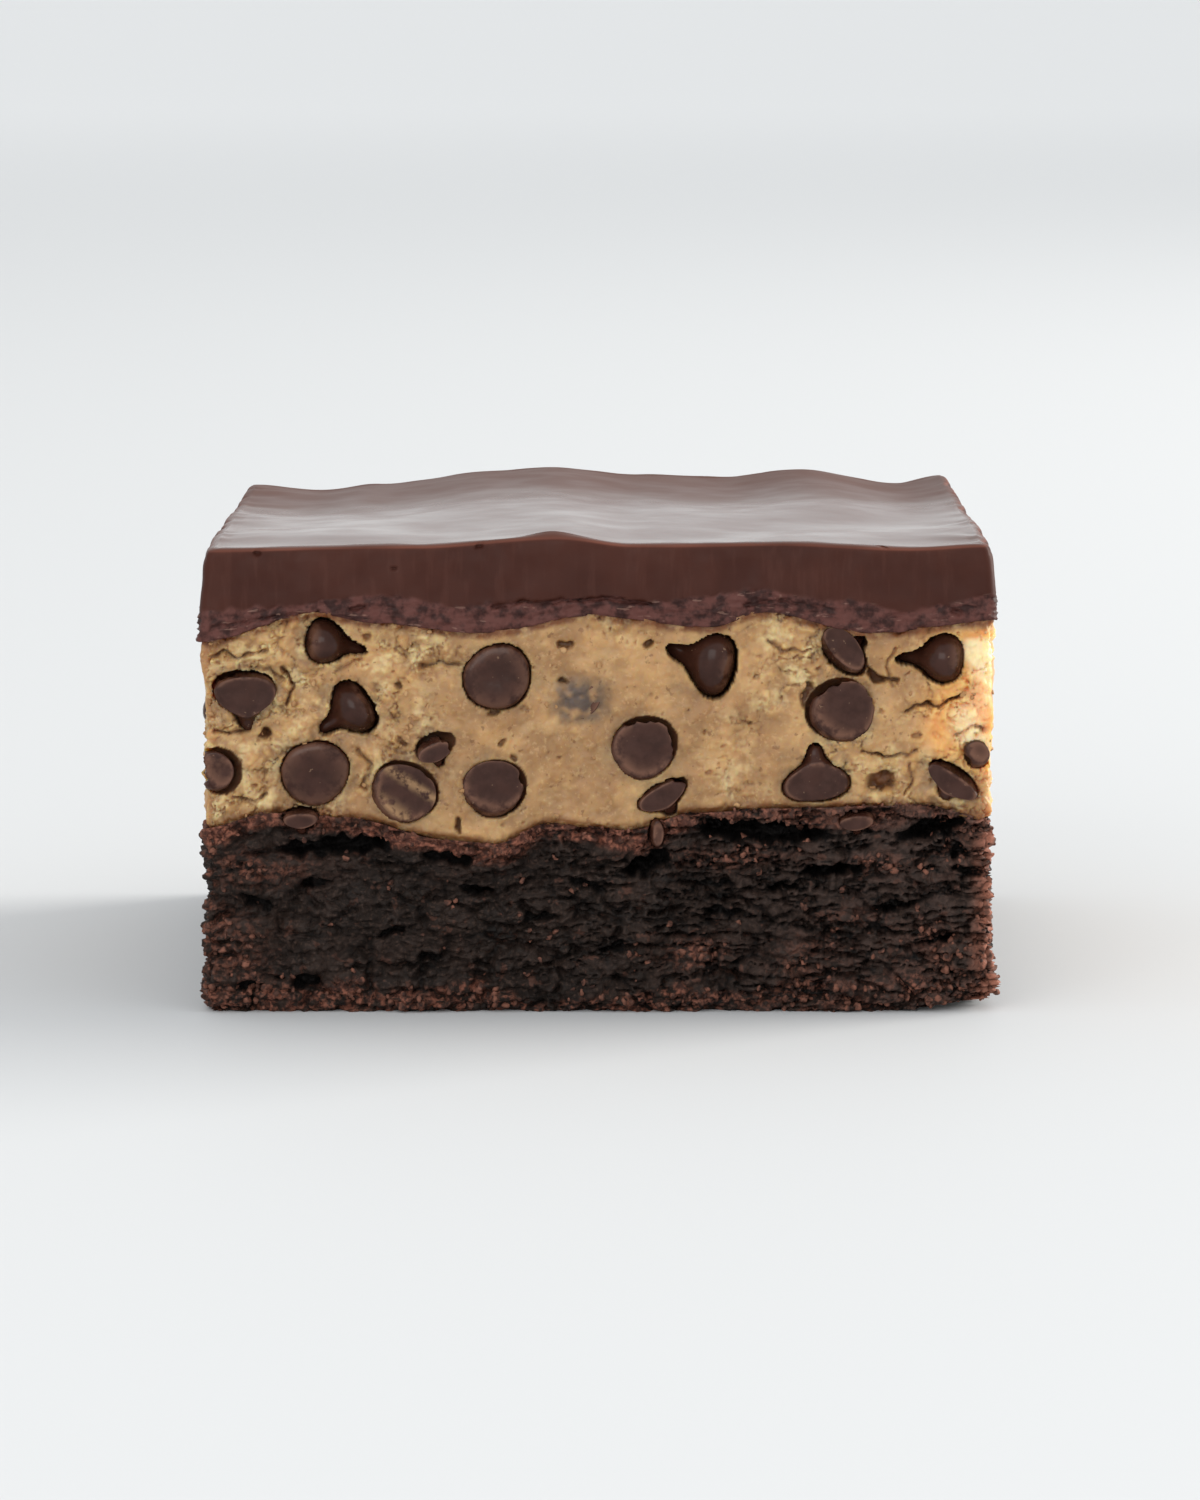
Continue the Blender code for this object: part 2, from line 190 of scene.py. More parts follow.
def freeShift(tree, vector, size, amount):  # a small vector from noise, about zero
    inputs = {"Vector": vector, "Scale": 1 / (size * mm), "Detail": 2.0}
    colour = put(tree, "ShaderNodeTexNoise", inputs).outputs["Color"]
    middled = onVector(tree, "SUBTRACT", colour, {1: (0.5, 0.5, 0.5)})
    return onVector(tree, "SCALE", middled, {"Scale": amount})


def warped(tree, vector, size, amount):
    return onVector(tree, "ADD", vector, {1: freeShift(tree, vector, size, amount * mm)})


def axes(tree, where):
    return put(tree, "ShaderNodeSeparateXYZ", {0: where}).outputs


def newTree(name, sizes):
    tree = bpy.data.node_groups.new(name, "GeometryNodeTree")
    tree.interface.new_socket("Geometry", in_out="INPUT", socket_type="NodeSocketGeometry")
    for label, value in sizes.items():
        kind = "NodeSocketInt" if isinstance(value, int) else "NodeSocketFloat"
        tree.interface.new_socket(label, in_out="INPUT", socket_type=kind)
    tree.interface.new_socket("Geometry", in_out="OUTPUT", socket_type="NodeSocketGeometry")
    return tree, tree.nodes.new("NodeGroupInput"), tree.nodes.new("NodeGroupOutput")


def grown(obj, tree, sizes):  # runs a tree on an object and keeps the plain mesh
    modifier = obj.modifiers.new("Relief", "NODES")
    modifier.node_group = tree
    for item in tree.interface.items_tree:
        if item.item_type == "SOCKET" and item.in_out == "INPUT" and item.name in sizes:
            modifier[item.identifier] = sizes[item.name]
    graph = bpy.context.evaluated_depsgraph_get()
    mesh = bpy.data.meshes.new_from_object(obj.evaluated_get(graph), depsgraph=graph)
    obj.modifiers.remove(modifier)
    obj.data = mesh
    return obj


def named(tree, name, kind="FLOAT"):
    return put(tree, "GeometryNodeInputNamedAttribute", {"Name": name}, data_type=kind).outputs["Attribute"]


def kept(tree, geometry, name, value):
    inputs = {"Geometry": geometry, "Name": name, "Value": value}
    return put(tree, "GeometryNodeStoreNamedAttribute", inputs, data_type="FLOAT", domain="POINT").outputs[0]


# the square's outline, and the closed skins that are laid round it

splitShare = square["splitAt"] / face
wholeOutline = [(side, -1.0, 1.0) for side in range(sideCount)]
frontOutline = [(0, -1.0, 1.0), (1, -1.0, splitShare), (None, 1.0, -1.0), (3, -splitShare, 1.0)]
rearOutline = [(1, splitShare, 1.0), (2, -1.0, 1.0), (3, -1.0, -splitShare), (None, -1.0, 1.0)]


def outlinePath(stretches):  # columns of the skin: unit place, side (-1 where hidden)
    places, sides = [], []
    for side, start, end in stretches:
        if side is None:
            spacing = square["hiddenSpacing"]
        else:
            spacing = square["frontSpacing"] if side == 0 else square["otherSpacing"]
        count = max(2, round(abs(end - start) * face / spacing))
        for share in np.linspace(start, end, count, endpoint=False):
            places.append((share, splitShare) if side is None else turned(share, -1.0, side))
            sides.append(-1 if side is None else side)
    return np.array(places), np.array(sides)


def rounded(place, distance, sides):  # unit places scaled out, with the corners rounded; and the way out
    point = place * distance[:, None]
    heart = distance - square["cornerRound"]
    core = np.clip(point, -heart[:, None], heart[:, None])
    off = point - core
    seen = sides >= 0
    corner = seen & (np.abs(off).min(axis=1) > 1e-9)
    out = off / np.maximum(np.linalg.norm(off, axis=1), 1e-9)[:, None]
    point = np.where(corner[:, None], core + out * square["cornerRound"], point)
    return point, np.where(seen[:, None], out, 0.0)


def stitch(faces, ringA, ringB):  # joins two closed rings of different counts
    a, b = 0, 0
    while a < len(ringA) or b < len(ringB):
        if b >= len(ringB) or (a < len(ringA) and (a + 1) / len(ringA) <= (b + 1) / len(ringB)):
            faces.append((ringA[a % len(ringA)], ringA[(a + 1) % len(ringA)], ringB[b % len(ringB)]))
            a += 1
        else:
            faces.append((ringA[a % len(ringA)], ringB[(b + 1) % len(ringB)], ringB[b % len(ringB)]))
            b += 1


capRings = ((0.955, 4), (0.9, 10))  # of a hidden cap: share of the way out from the middle, columns per point


def skinOf(stretches, profile, rows, floor, roof, topRings=capRings, dip=0.0):
    # a closed skin between two wavy heights; gives points, faces and, for each point, its facts
    place, sides = outlinePath(stretches)
    count = len(place)
    level = place * face
    low, high = floor(level[:, 0], level[:, 1]), roof(level[:, 0], level[:, 1])
    points, outs, faces = [], [], []
    for rise in rows:
        distance = np.full(count, np.interp(rise, [p[0] for p in profile], [p[1] for p in profile]))
        at, out = rounded(place, distance, sides)
        points.append(np.column_stack([at, blend(low, high, rise)]))
        outs.append(np.column_stack([out, np.zeros(count)]))
    for row in range(len(rows) - 1):
        here = np.arange(count) + row * count
        after = np.roll(here, -1)
        faces += np.column_stack([here, after, after + count, here + count]).tolist()
    walls = total = len(rows) * count
    front, back = level[:, 1].min(), level[:, 1].max()
    centre, half = np.array([0.0, (front + back) / 2]), np.array([face, (back - front) / 2])
    for rings, rowStart, height, lower, flip in (
            (topRings, total - count, roof, dip, False), (capRings, 0, floor, 0.0, True)):
        ring = list(range(rowStart, rowStart + count))
        rim = points[rowStart // count][:, :2]
        found = []
        for share, thinning in rings:
            pick = np.arange(0, count, thinning)
            inner = centre + (rim[pick] - centre) * (1 - (1 - share) * face / half)
            points.append(np.column_stack([inner, height(inner[:, 0], inner[:, 1]) - lower]))
            new = list(range(total, total + len(pick)))
            total += len(pick)
            stitch(found, ring, new)
            ring = new
        points.append(np.array([[*centre, float(height(centre[:1], centre[1:])[0]) - lower]]))
        found += [(ring[n], ring[(n + 1) % len(ring)], total) for n in range(len(ring))]
        faces += [f[::-1] for f in found] if flip else found
        total += 1

    def spread(values, inside=0.0):  # the walls' values, and one value for all points of the caps
        return np.concatenate([values, np.full((total - walls, *values.shape[1:]), inside)])

    side = spread(np.tile(sides, len(rows)), -1)
    facts = {
        "outward": spread(np.vstack(outs)), "side": side, "seen": (side >= 0).astype(float),
        "rise": spread(np.repeat(rows, count)), "roof": spread(np.tile(high, len(rows))),
        "floor": spread(np.tile(low, len(rows))),
    }
    for label in ("carved", "smudge", "seat", "crumbly"):
        facts[label] = np.zeros(total)
    return np.vstack(points), faces, facts


def facing(points, side):  # a side's points turned to the front: right, depth, up
    x, y = turned(points[:, 0], points[:, 1], (sideCount - side) % sideCount)
    return np.column_stack([x, y, points[:, 2]])


def linked(name, data):
    obj = bpy.data.objects.new(name, data)
    bpy.context.scene.collection.objects.link(obj)
    return obj


def meshOf(name, points, faces, marks, material):
    mesh = bpy.data.meshes.new(name)
    mesh.from_pydata((np.asarray(points) * mm).tolist(), [], faces)
    mesh.update()
    for label, values in marks.items():
        vector = np.ndim(values) == 2
        made = mesh.attributes.new(label, "FLOAT_VECTOR" if vector else "FLOAT", "POINT")
        made.data.foreach_set("vector" if vector else "value", np.ascontiguousarray(values, float).ravel())
    mesh.polygons.foreach_set("use_smooth", np.full(len(mesh.polygons), True))
    mesh.materials.append(material)
    return linked(name, mesh)


# shapes carved into a face: pits, hollows and cracks, in right and up on that face


def ellipseDepth(x, z, pit):  # (right, up, width, tall, deep, tilt)
    cx, cz, width, tall, deep, tilt = pit
    turn = math.radians(tilt)
    u = (x - cx) * math.cos(turn) + (z - cz) * math.sin(turn)
    v = (z - cz) * math.cos(turn) - (x - cx) * math.sin(turn)
    return deep * (1 - ease((np.hypot(2 * u / width, 2 * v / tall) - 0.55) / 0.5))


def crackDepth(x, z, crack):  # (points, width, deep)
    points, width, deep = crack
    nearest = np.full(len(x), 1e9)
    for (x0, z0), (x1, z1) in zip(points, points[1:]):
        run = np.array([x1 - x0, z1 - z0])
        share = np.clip(((x - x0) * run[0] + (z - z0) * run[1]) / (run @ run), 0, 1)
        nearest = np.minimum(nearest, np.hypot(x - x0 - share * run[0], z - z0 - share * run[1]))
    return deep * (1 - ease(nearest / width))


def carvedFrom(points, facts, side, pits, cracks, ragged=0.35):
    pick = np.flatnonzero(facts["side"] == side)
    local = facing(points[pick], side)
    x = local[:, 0] + ragged * softNoise(local[:, 0] * 1.1, side * 7.0, local[:, 2] * 1.1)
    z = local[:, 2] + ragged * softNoise(local[:, 0] * 1.1, side * 7.0 + 3, local[:, 2] * 1.1)
    depth = np.zeros(len(pick))
    for pit in pits:
        depth = np.maximum(depth, ellipseDepth(x, z, pit))
    for crack in cracks:
        depth = np.maximum(depth, crackDepth(x, z, crack))
    facts["carved"][pick] = np.maximum(facts["carved"][pick], depth)


# chocolate chips

chips = {
    "segments": 44,
    "rows": 28,
    "middle": 0.4,  # share of the height from the base to the point a chip is placed by
    "cutProud": 0.1,
    "wholeProud": 0.3,
    "mostProud": 0.35,
    "veiledDeeper": 0.32,
    "flatOutline": [
        (0.0, 0.03), (0.55, 0.0), (0.86, 0.01), (0.97, 0.07), (1.0, 0.16), (0.98, 0.27), (0.88, 0.39),
        (0.68, 0.5),
        (0.46, 0.6), (0.32, 0.7), (0.27, 0.8), (0.23, 0.9), (0.15, 0.97), (0.07, 0.995), (0.0, 1.0),
    ],
    "roundOutline": [
        (0.0, 0.0), (0.36, 0.015), (0.64, 0.05), (0.84, 0.11), (0.95, 0.18), (1.0, 0.27), (0.97, 0.37),
        (0.84, 0.47),
        (0.63, 0.56), (0.44, 0.64), (0.32, 0.72), (0.27, 0.81), (0.23, 0.9), (0.13, 0.97), (0.0, 1.0),
    ],
    "seed": 42,
    "columns": 5,
    "perSide": 10,
    "farthestAlong": 31.0,
    "lowest": 20.6,
    "highest": 30.6,
    "draws": 20,
}

# right, up, diameter, base to tip, middle behind the face, the tip's way (right, in, up), knifed,
# width of the gap round it, and the way that its gap opens (right, up)
frontChips = [
    (-23.3, 32.2, 4.1, 5.3, 1.8, (1.0, 0.25, -0.15), False, 0.08, (0.2, 0.1)),
    (-30.5, 27.5, 5.4, 5.0, 0.6, (0.05, 0.35, -1.0), True, 0.07, (-0.15, 0.15)),
    (-21.7, 26.3, 5.0, 5.2, 2.1, (-0.83, -0.05, -0.52), False, 0.1, (0.2, 0.0)),
    (-24.5, 21.0, 5.8, 4.2, 1.6, (0.0, 1.0, 0.06), False, 0.07, (-0.03, 0.05)),
    (-33.1, 21.2, 3.6, 3.2, 0.8, (0.3, 0.9, 0.1), True, 0.3, (0.5, 0.0)),
    (-25.8, 16.8, 3.3, 2.0, 0.6, (0.05, 0.25, -1.0), True, 0.1, (0.0, 0.15)),
    (-8.7, 29.3, 5.8, 4.2, 1.6, (0.04, 1.0, -0.05), False, 0.12, (0.04, -0.05)),
    (-14.1, 22.8, 3.4, 2.3, 0.5, (0.35, 0.4, -0.85), True, 0.25, (0.1, 0.25)),
    (-16.8, 19.3, 5.6, 4.8, 0.9, (0.25, 1.0, 0.2), True, 0.08, (0.25, 0.25)),
    (-9.1, 19.8, 5.4, 4.8, 0.9, (0.1, 0.9, 0.35), True, 0.08, (0.25, 0.05)),
    (-1.4, 27.3, 3.8, 3.4, 0.9, (0.3, 0.9, -0.3), True, 0.1, (0.0, 0.0)),
    (9.3, 30.4, 5.5, 6.3, 2.3, (-0.97, 0.05, 0.2), False, 0.1, (0.15, -0.05)),
    (3.9, 23.1, 5.6, 4.6, 0.9, (0.1, 1.0, 0.15), True, 0.07, (0.22, 0.25)),
    (5.6, 18.8, 4.8, 2.9, 0.6, (0.5, 0.2, -0.86), True, 0.06, (0.1, -0.08)),
    (5.2, 15.7, 2.5, 1.7, 0.6, (1.0, 0.3, 0.0), True, 0.1, (0.0, -0.1)),
    (21.3, 31.9, 4.7, 3.6, 0.8, (0.6, 0.45, 0.55), True, 0.06, (0.2, -0.2)),
    (29.4, 30.9, 4.3, 5.9, 1.9, (-1.0, 0.2, 0.03), False, 0.09, (-0.25, -0.05)),
    (21.2, 26.4, 5.7, 4.6, 0.9, (0.15, 1.0, 0.2), True, 0.08, (-0.28, 0.2)),
    (18.9, 20.5, 5.8, 5.1, 0.9, (-0.12, 0.1, 1.0), True, 0.05, (0.0, 0.0)),
    (30.6, 20.1, 5.0, 2.5, 0.6, (-0.55, 0.3, -0.8), True, 0.07, (0.0, 0.1)),
    (32.8, 22.7, 2.5, 2.4, 0.6, (0.3, 0.9, 0.4), True, 0.06, (0.1, 0.0)),
    (22.4, 16.6, 3.3, 2.0, 0.6, (0.1, 0.3, -1.0), True, 0.06, (0.0, 0.1)),
]
veiledChip = 10  # this one lies under a thin veil of dough

# bits broken off a cut chip: the way out (right, up) and how much of the radius is left there
brokenOff = {
    1: [(-0.3, 0.95, 0.8)], 4: [(-1.0, 0.0, 0.5)], 7: [(0.8, 0.6, 0.62), (-0.7, 0.7, 0.7)],
    8: [(0.72, 0.7, 0.86)],
    9: [(0.95, 0.25, 0.88), (-0.6, 0.8, 0.92)], 12: [(-0.15, 1.0, 0.8), (0.9, 0.3, 0.92)],
    13: [(0.2, 0.97, 0.72)],
    17: [(-0.42, 0.9, 0.84), (0.85, 0.5, 0.95)], 18: [(0.5, 0.85, 0.85)], 19: [(0.6, 0.8, 0.6)],
    20: [(-0.7, -0.7, 0.75)],
}


def chipMiddle(spec, side):
    return Vector((*turned(spec[0], -face + spec[4], side), spec[1]))


def drawnChip(draw, column, row):
    kind = draw.random()
    diameter = draw.uniform(4.6, 5.8)
    tall = diameter * draw.uniform(0.75, 1.05)
    turn = draw.uniform(0, 2 * math.pi)
    if kind < 0.3:
        tip, behind, knifed = (0.1 * math.cos(turn), 1.0, 0.1 * math.sin(turn)), chips["middle"] * tall, False
    elif kind < 0.6:
        tip, behind, knifed = (math.cos(turn), 0.1, math.sin(turn)), diameter / 2 - chips["wholeProud"], False
    else:
        tip, knifed = (math.cos(turn), draw.uniform(0.2, 1.4), math.sin(turn)), True
        behind = draw.uniform(0.6, 1.1)
    cell = 2 * chips["farthestAlong"] / chips["columns"]
    x = -chips["farthestAlong"] + cell * (column + draw.random())
    rowHigh = (chips["highest"] - chips["lowest"]) / 2
    z = chips["lowest"] + rowHigh * row + draw.uniform(0, rowHigh) + 1.2 * (0.5 - row)
    return x, z, diameter, tall, behind, tip, knifed


def scatteredChips():
    draw = random.Random(chips["seed"])
    middles = [chipMiddle(spec, 0) for spec in frontChips]
    found = []
    for n in range(3 * chips["perSide"]):
        side = 1 + n // chips["perSide"]
        column, row = divmod(n % chips["perSide"], 2)
        tries = [drawnChip(draw, column, row) for _ in range(chips["draws"])]
        room = [min((chipMiddle(spec, side) - other).length for other in middles) for spec in tries]
        spec = tries[room.index(max(room))]
        middles.append(chipMiddle(spec, side))
        gapWay = (0.25 * math.cos(n * 2.4), 0.25 * math.sin(n * 2.4))
        found.append(((*spec, 0.07 + 0.03 * (n % 3), gapWay), side))
    return found


def chipShape(spec, number, grow=0.0, cut=True):
    # points about the chip's own middle, faces, and how much was cut off at each point
    _, _, diameter, tall, behind, tip, knifed, _, gapWay = spec
    radius, tall = diameter / 2 + grow, tall + 2 * grow
    baseOut = tip[1] > 0.9 and not knifed
    outline = np.array(chips["flatOutline" if baseOut else "roundOutline"])
    shares = np.linspace(0, 1, len(outline))
    steps = np.linspace(0, 1, chips["rows"])
    across = np.interp(steps, shares, outline[:, 0])
    upward = np.interp(steps, shares, outline[:, 1])
    across[1:-1] = (across[:-2] + 2 * across[1:-1] + across[2:]) / 4
    angle = np.linspace(0, 2 * math.pi, chips["segments"], endpoint=False)
    draw = random.Random(number * 13 + 5)
    wobble = 1 + 0.04 * np.sin(2 * angle + draw.uniform(0, 6))
    wobble = wobble + 0.028 * np.sin(3 * angle + draw.uniform(0, 6))
    lean, leanWay = draw.uniform(0.05, 0.28), draw.uniform(0, 6.28)
    points = [(0.0, 0.0, (upward[0] - chips["middle"]) * tall)]
    for share, high in zip(across[1:-1], upward[1:-1]):
        bend = lean * radius * high ** 2.2
        x = share * radius * wobble * np.cos(angle) + bend * math.cos(leanWay)
        y = share * radius * wobble * np.sin(angle) + bend * math.sin(leanWay)
        points += np.column_stack([x, y, np.full(len(angle), (high - chips["middle"]) * tall)]).tolist()
    bend = lean * radius
    points.append((bend * math.cos(leanWay), bend * math.sin(leanWay), (1 - chips["middle"]) * tall))
    turn = np.array(Vector((0, 0, 1)).rotation_difference(Vector(tip).normalized()).to_matrix())
    points = np.array(points) @ turn.T
    count = chips["segments"]
    faces = [(0, 1 + (n + 1) % count, 1 + n) for n in range(count)]
    for row in range(chips["rows"] - 3):
        start = 1 + row * count
        for n in range(count):
            after = (n + 1) % count
            faces.append((start + n, start + after, start + after + count, start + n + count))
    last, start = len(points) - 1, 1 + (chips["rows"] - 3) * count
    faces += [(start + n, start + (n + 1) % count, last) for n in range(count)]
    rough = softNoise(points[:, 0] * 1.3 + number, points[:, 1] * 1.3, points[:, 2] * 1.3)
    points = points * (1 + 0.02 * rough[:, None])
    sliced = np.zeros(len(points))
    if cut and knifed:
        plane = -behind - chips["cutProud"] + 0.05 * softNoise(points[:, 0] * 0.9, number, points[:, 2] * 0.9)
        sliced = np.maximum(plane - points[:, 1], 0)
        points[:, 1] = np.maximum(points[:, 1], plane)
    ragged = 0.5 * softNoise(points[:, 0] * 1.5, number + 0.5, points[:, 2] * 1.5)
    for right, up, share in [] if grow else brokenOff.get(number, []):
        way = np.array([right, 0.0, up]) / math.hypot(right, up)
        over = np.maximum(points @ way - share * radius + ragged, 0)
        points -= over[:, None] * way
    if grow:
        points += np.array([gapWay[0], 0.0, gapWay[1]])
    return points, faces, sliced


def chipPlaced(points, spec, side):
    local = points + np.array([spec[0], -face + spec[4], spec[1]])
    x, y = turned(local[:, 0], local[:, 1], side)
    return np.column_stack([x, y, local[:, 2]])


allChips = [(spec, 0) for spec in frontChips] + scatteredChips()


def pressSeats(points, facts, skip=()):
    # pushes a layer's skin back behind each chip, and marks the dough near it
    for number, (spec, side) in enumerate(allChips):
        pick = np.flatnonzero(facts["side"] == side)
        local = facing(points[pick], side)
        away = np.hypot(local[:, 0] - spec[0], local[:, 2] - spec[1])
        near = np.flatnonzero(away < spec[2] * 0.5 + spec[3] * 0.5 + 1.2)
        reach = away[near] - spec[2] * 0.5
        smudge = np.exp(-np.maximum(reach, 0) ** 2 / 0.7)
        facts["smudge"][pick[near]] = np.maximum(facts["smudge"][pick[near]], smudge)
        if number in skip:
            continue
        shape, faces, _ = chipShape(spec, number, grow=spec[7], cut=False)
        seat = BVHTree.FromPolygons((shape + np.array([spec[0], -face + spec[4], spec[1]])).tolist(), faces)
        for n in near:
            start = Vector((local[n, 0], -face - 4.0, local[n, 2]))
            deepest = None
            for _ in range(4):
                hit = seat.ray_cast(start, Vector((0, 1, 0)))[0]
                if hit is None:
                    break
                deepest = hit.y
                start = Vector((start.x, hit.y + 0.01, start.z))
            if deepest is None or deepest < local[n, 1]:
                continue
            x, y = turned(local[n, 0], deepest, side)
            points[pick[n], :2] = x, y
            facts["seen"][pick[n]] = 0.12
            facts["carved"][pick[n]] = 0.0
            facts["seat"][pick[n]] = 1.0


def marksOf(facts, labels):
    marks = {"outward": facts["outward"], "seen": facts["seen"], "carved": facts["carved"] * mm}
    return marks | {label: facts[label] for label in labels}


print("outline, carving and chips ready")


# materials: every colour is mixed from noise in object coordinates and the attributes the trees keep


def newMaterial(name, settings, build):
    material = bpy.data.materials.new(name)
    material.use_nodes = True
    tree = material.node_tree
    tree.nodes.clear()
    shader = tree.nodes.new("ShaderNodeBsdfPrincipled")
    output = tree.nodes.new("ShaderNodeOutputMaterial")
    tree.links.new(shader.outputs[0], output.inputs[0])
    for socket, value in settings.items():
        shader.inputs[socket].default_value = value
    where = tree.nodes.new("ShaderNodeTexCoord").outputs["Object"]
    for socket, value in build(tree, where).items():
        tree.links.new(value, shader.inputs[socket])
    return material


def mark(tree, name):
    return put(tree, "ShaderNodeAttribute", attribute_type="GEOMETRY", attribute_name=name).outputs["Fac"]


def mixed(tree, share, a, b):  # colours as (r, g, b) or sockets
    inputs = {0: share}
    for slot, value in ((6, a), (7, b)):
        inputs[slot] = value if isinstance(value, bpy.types.NodeSocket) else (*value, 1.0)
    return put(tree, "ShaderNodeMix", inputs, data_type="RGBA").outputs[2]


def patchy(tree, where, noisy, a, b):  # two colours in turn, by noise as (size, low, high, detail)
    return mixed(tree, patches(tree, where, *noisy), a, b)


def between(tree, share, a, b):
    return put(tree, "ShaderNodeMix", {0: share, 2: a, 3: b}, data_type="FLOAT").outputs[0]


def layered(tree, where, colour, layers):
    # lays colours one over another: (colour, attribute or share, noise, strength)
    for target, label, noisy, strength in layers:
        share = mark(tree, label) if isinstance(label, str) else label
        if noisy:
            patch = patches(tree, where, *noisy)
            share = patch if share is None else times(tree, share, patch)
        if strength < 1:
            share = times(tree, share, strength)
        colour = mixed(tree, share, colour, target)
    return colour


def surface(tree, colour, rough, height, strength, distance):
    bumps = put(tree, "ShaderNodeBump", {"Height": height, "Strength": strength, "Distance": distance * mm})
    return {"Base Color": colour, "Roughness": rough, "Normal": bumps.outputs[0]}


def fudgyLook(tree, where):
    rightward, backward, _ = axes(tree, where)
    onFront = ramped(tree, backward, -0.0325, -0.0295, (1.0, 0.0))
    # painted light: the front is painted paler towards its right end, and redder and brighter at its right
    # edge, as light falls on it from the right
    paintedLightFromRight = times(tree, ramped(tree, rightward, 0.0, 0.034), onFront)
    lit = times(tree, ramped(tree, rightward, 0.0318, 0.0342), onFront)
    rust = patchy(tree, where, (0.5, 0.4, 0.64), (0.078, 0.028, 0.0195), (0.29, 0.108, 0.068))
    colour = patchy(tree, where, (3.0, 0.4, 0.64), (0.0145, 0.0088, 0.0066), (0.03, 0.018, 0.0138))
    colour = layered(tree, where, colour, [
        ((0.065, 0.038, 0.028), None, (0.35, 0.5, 0.68), 0.6),  # grit
        (rust, "crust", (1.1, 0.3, 0.54, 4.0), 1.0),
        (rust, "crumbly", (1.0, 0.4, 0.6, 4.0), 0.9),
        # painted light from the right on the front, then on its right edge
        ((0.076, 0.047, 0.038), paintedLightFromRight, (2.0, 0.35, 0.6), 0.75),
        ((0.38, 0.145, 0.092), lit, (1.2, 0.3, 0.55), 0.8),
        ((0.095, 0.042, 0.029), None, (1.3, 0.62, 0.68, 2.0), 0.7),  # stray red spots
        # painted shade, near black, in the crevices and carved hollows
        ((0.0035, 0.0022, 0.0018), "deep", None, 1.0),
    ])
    rough = patches(tree, where, 2.2, 0.35, 0.65, 2.0, to=(0.55, 0.8))
    return surface(tree, colour, rough, cloud(tree, where, 0.25, 4.0), 0.8, 0.2)


def doughLook(tree, where):
    glow = mark(tree, "glow")
    colour = patchy(tree, where, (4.5, 0.36, 0.64), (0.35, 0.19, 0.08), (0.54, 0.315, 0.135))
    colour = layered(tree, where, colour, [
        ((0.72, 0.53, 0.27), "crumbly", (2.0, 0.47, 0.64), 0.85),  # pale clumps
        ((0.62, 0.41, 0.2), None, (0.45, 0.56, 0.7, 2.0), 0.35),  # sugar
        ((0.2, 0.085, 0.032), None, (0.75, 0.65, 0.72, 2.0), 0.6),  # specks
        ((0.33, 0.19, 0.088), "crumbly", (1.4, 0.55, 0.3), 0.25),
        ((0.16, 0.09, 0.05), "smudge", (1.3, 0.34, 0.62), 0.6),
        ((0.18, 0.06, 0.018), "stain", (1.2, 0.25, 0.55), 1.0),
        ((0.88, 0.41, 0.12), ramped(tree, glow, 0.0, 0.35), None, 0.7),
        ((0.95, 0.74, 0.43), ramped(tree, glow, 0.45, 0.9), None, 1.0),
        ((0.055, 0.043, 0.043), "veil", None, 0.9),
        # painted shade in the carved pits, cracks and low places
        ((0.13, 0.05, 0.018), "deep", None, 1.0),
        ((0.1, 0.042, 0.019), "seat", None, 1.0),
    ])
    rough = patches(tree, where, 2.5, 0.35, 0.65, 2.0, to=(0.4, 0.62))
    return surface(tree, colour, rough, cloud(tree, where, 0.28, 4.0), 0.4, 0.12)


def ganacheLook(tree, where):
    top, low = mark(tree, "top"), mark(tree, "low")
    band = patchy(tree, where, (1.0, 0.34, 0.62, 4.0), (0.028, 0.0095, 0.008), (0.12, 0.044, 0.036))
    colour = patchy(tree, where, (6.0, 0.35, 0.65, 2.0), (0.0435, 0.0102, 0.0053), (0.0555, 0.0142, 0.0078))
    colour = layered(tree, where, colour, [
        ((0.12, 0.045, 0.032), None, (0.8, 0.5, 0.72, 3.0, (1, 1, 0.12)), 0.14),  # streaks of the knife
        (band, low, None, 0.9),
        ((0.3, 0.17, 0.13), low, (0.6, 0.64, 0.7, 2.0, (0.3, 1, 1.5)), 0.4),  # scratches
        # painted highlight along the upper edge of the cut faces
        ((0.19, 0.062, 0.04), "rim", None, 1.0),
        ((0.105, 0.036, 0.02), top, None, 0.7),
    ])
    matte = patches(tree, where, 2.0, 0.3, 0.7, 2.0, to=(0.48, 0.62))
    satin = patches(tree, where, 6.0, 0.3, 0.7, 2.0, to=(0.11, 0.19))
    satin = calc(tree, "ADD", satin, ramped(tree, axes(tree, where)[1], -0.012, 0.03, (0.0, 0.34)))
    grain = times(tree, cloud(tree, where, 0.35, 3.0), calc(tree, "ADD", low, 0.12))
    return surface(tree, colour, between(tree, top, matte, satin), grain, 0.3, 0.12)


def chipLook(tree, where):
    colour = patchy(tree, where, (1.8, 0.36, 0.66), (0.033, 0.0112, 0.007), (0.047, 0.017, 0.0112))
    colour = layered(tree, where, colour, [
        ((0.062, 0.0255, 0.0185), "cut", (1.0, 0.4, 0.7), 0.5),
        ((0.25, 0.15, 0.09), None, (0.5, 0.7, 0.74, 2.0), 0.5),  # specks
        ((0.2, 0.095, 0.06), "rim", (1.2, 0.34, 0.56), 0.7),
        ((0.34, 0.2, 0.1), "smear", (0.9, 0.34, 0.52), 0.9),
    ])
    rough = between(tree, mark(tree, "cut"), 0.2, 0.5)
    return surface(tree, colour, rough, cloud(tree, where, 0.5, 3.0), 0.12, 0.1)


def crumbLook(dark, light):
    return lambda tree, where: {"Base Color": patchy(tree, where, (0.8, 0.35, 0.65), dark, light)}


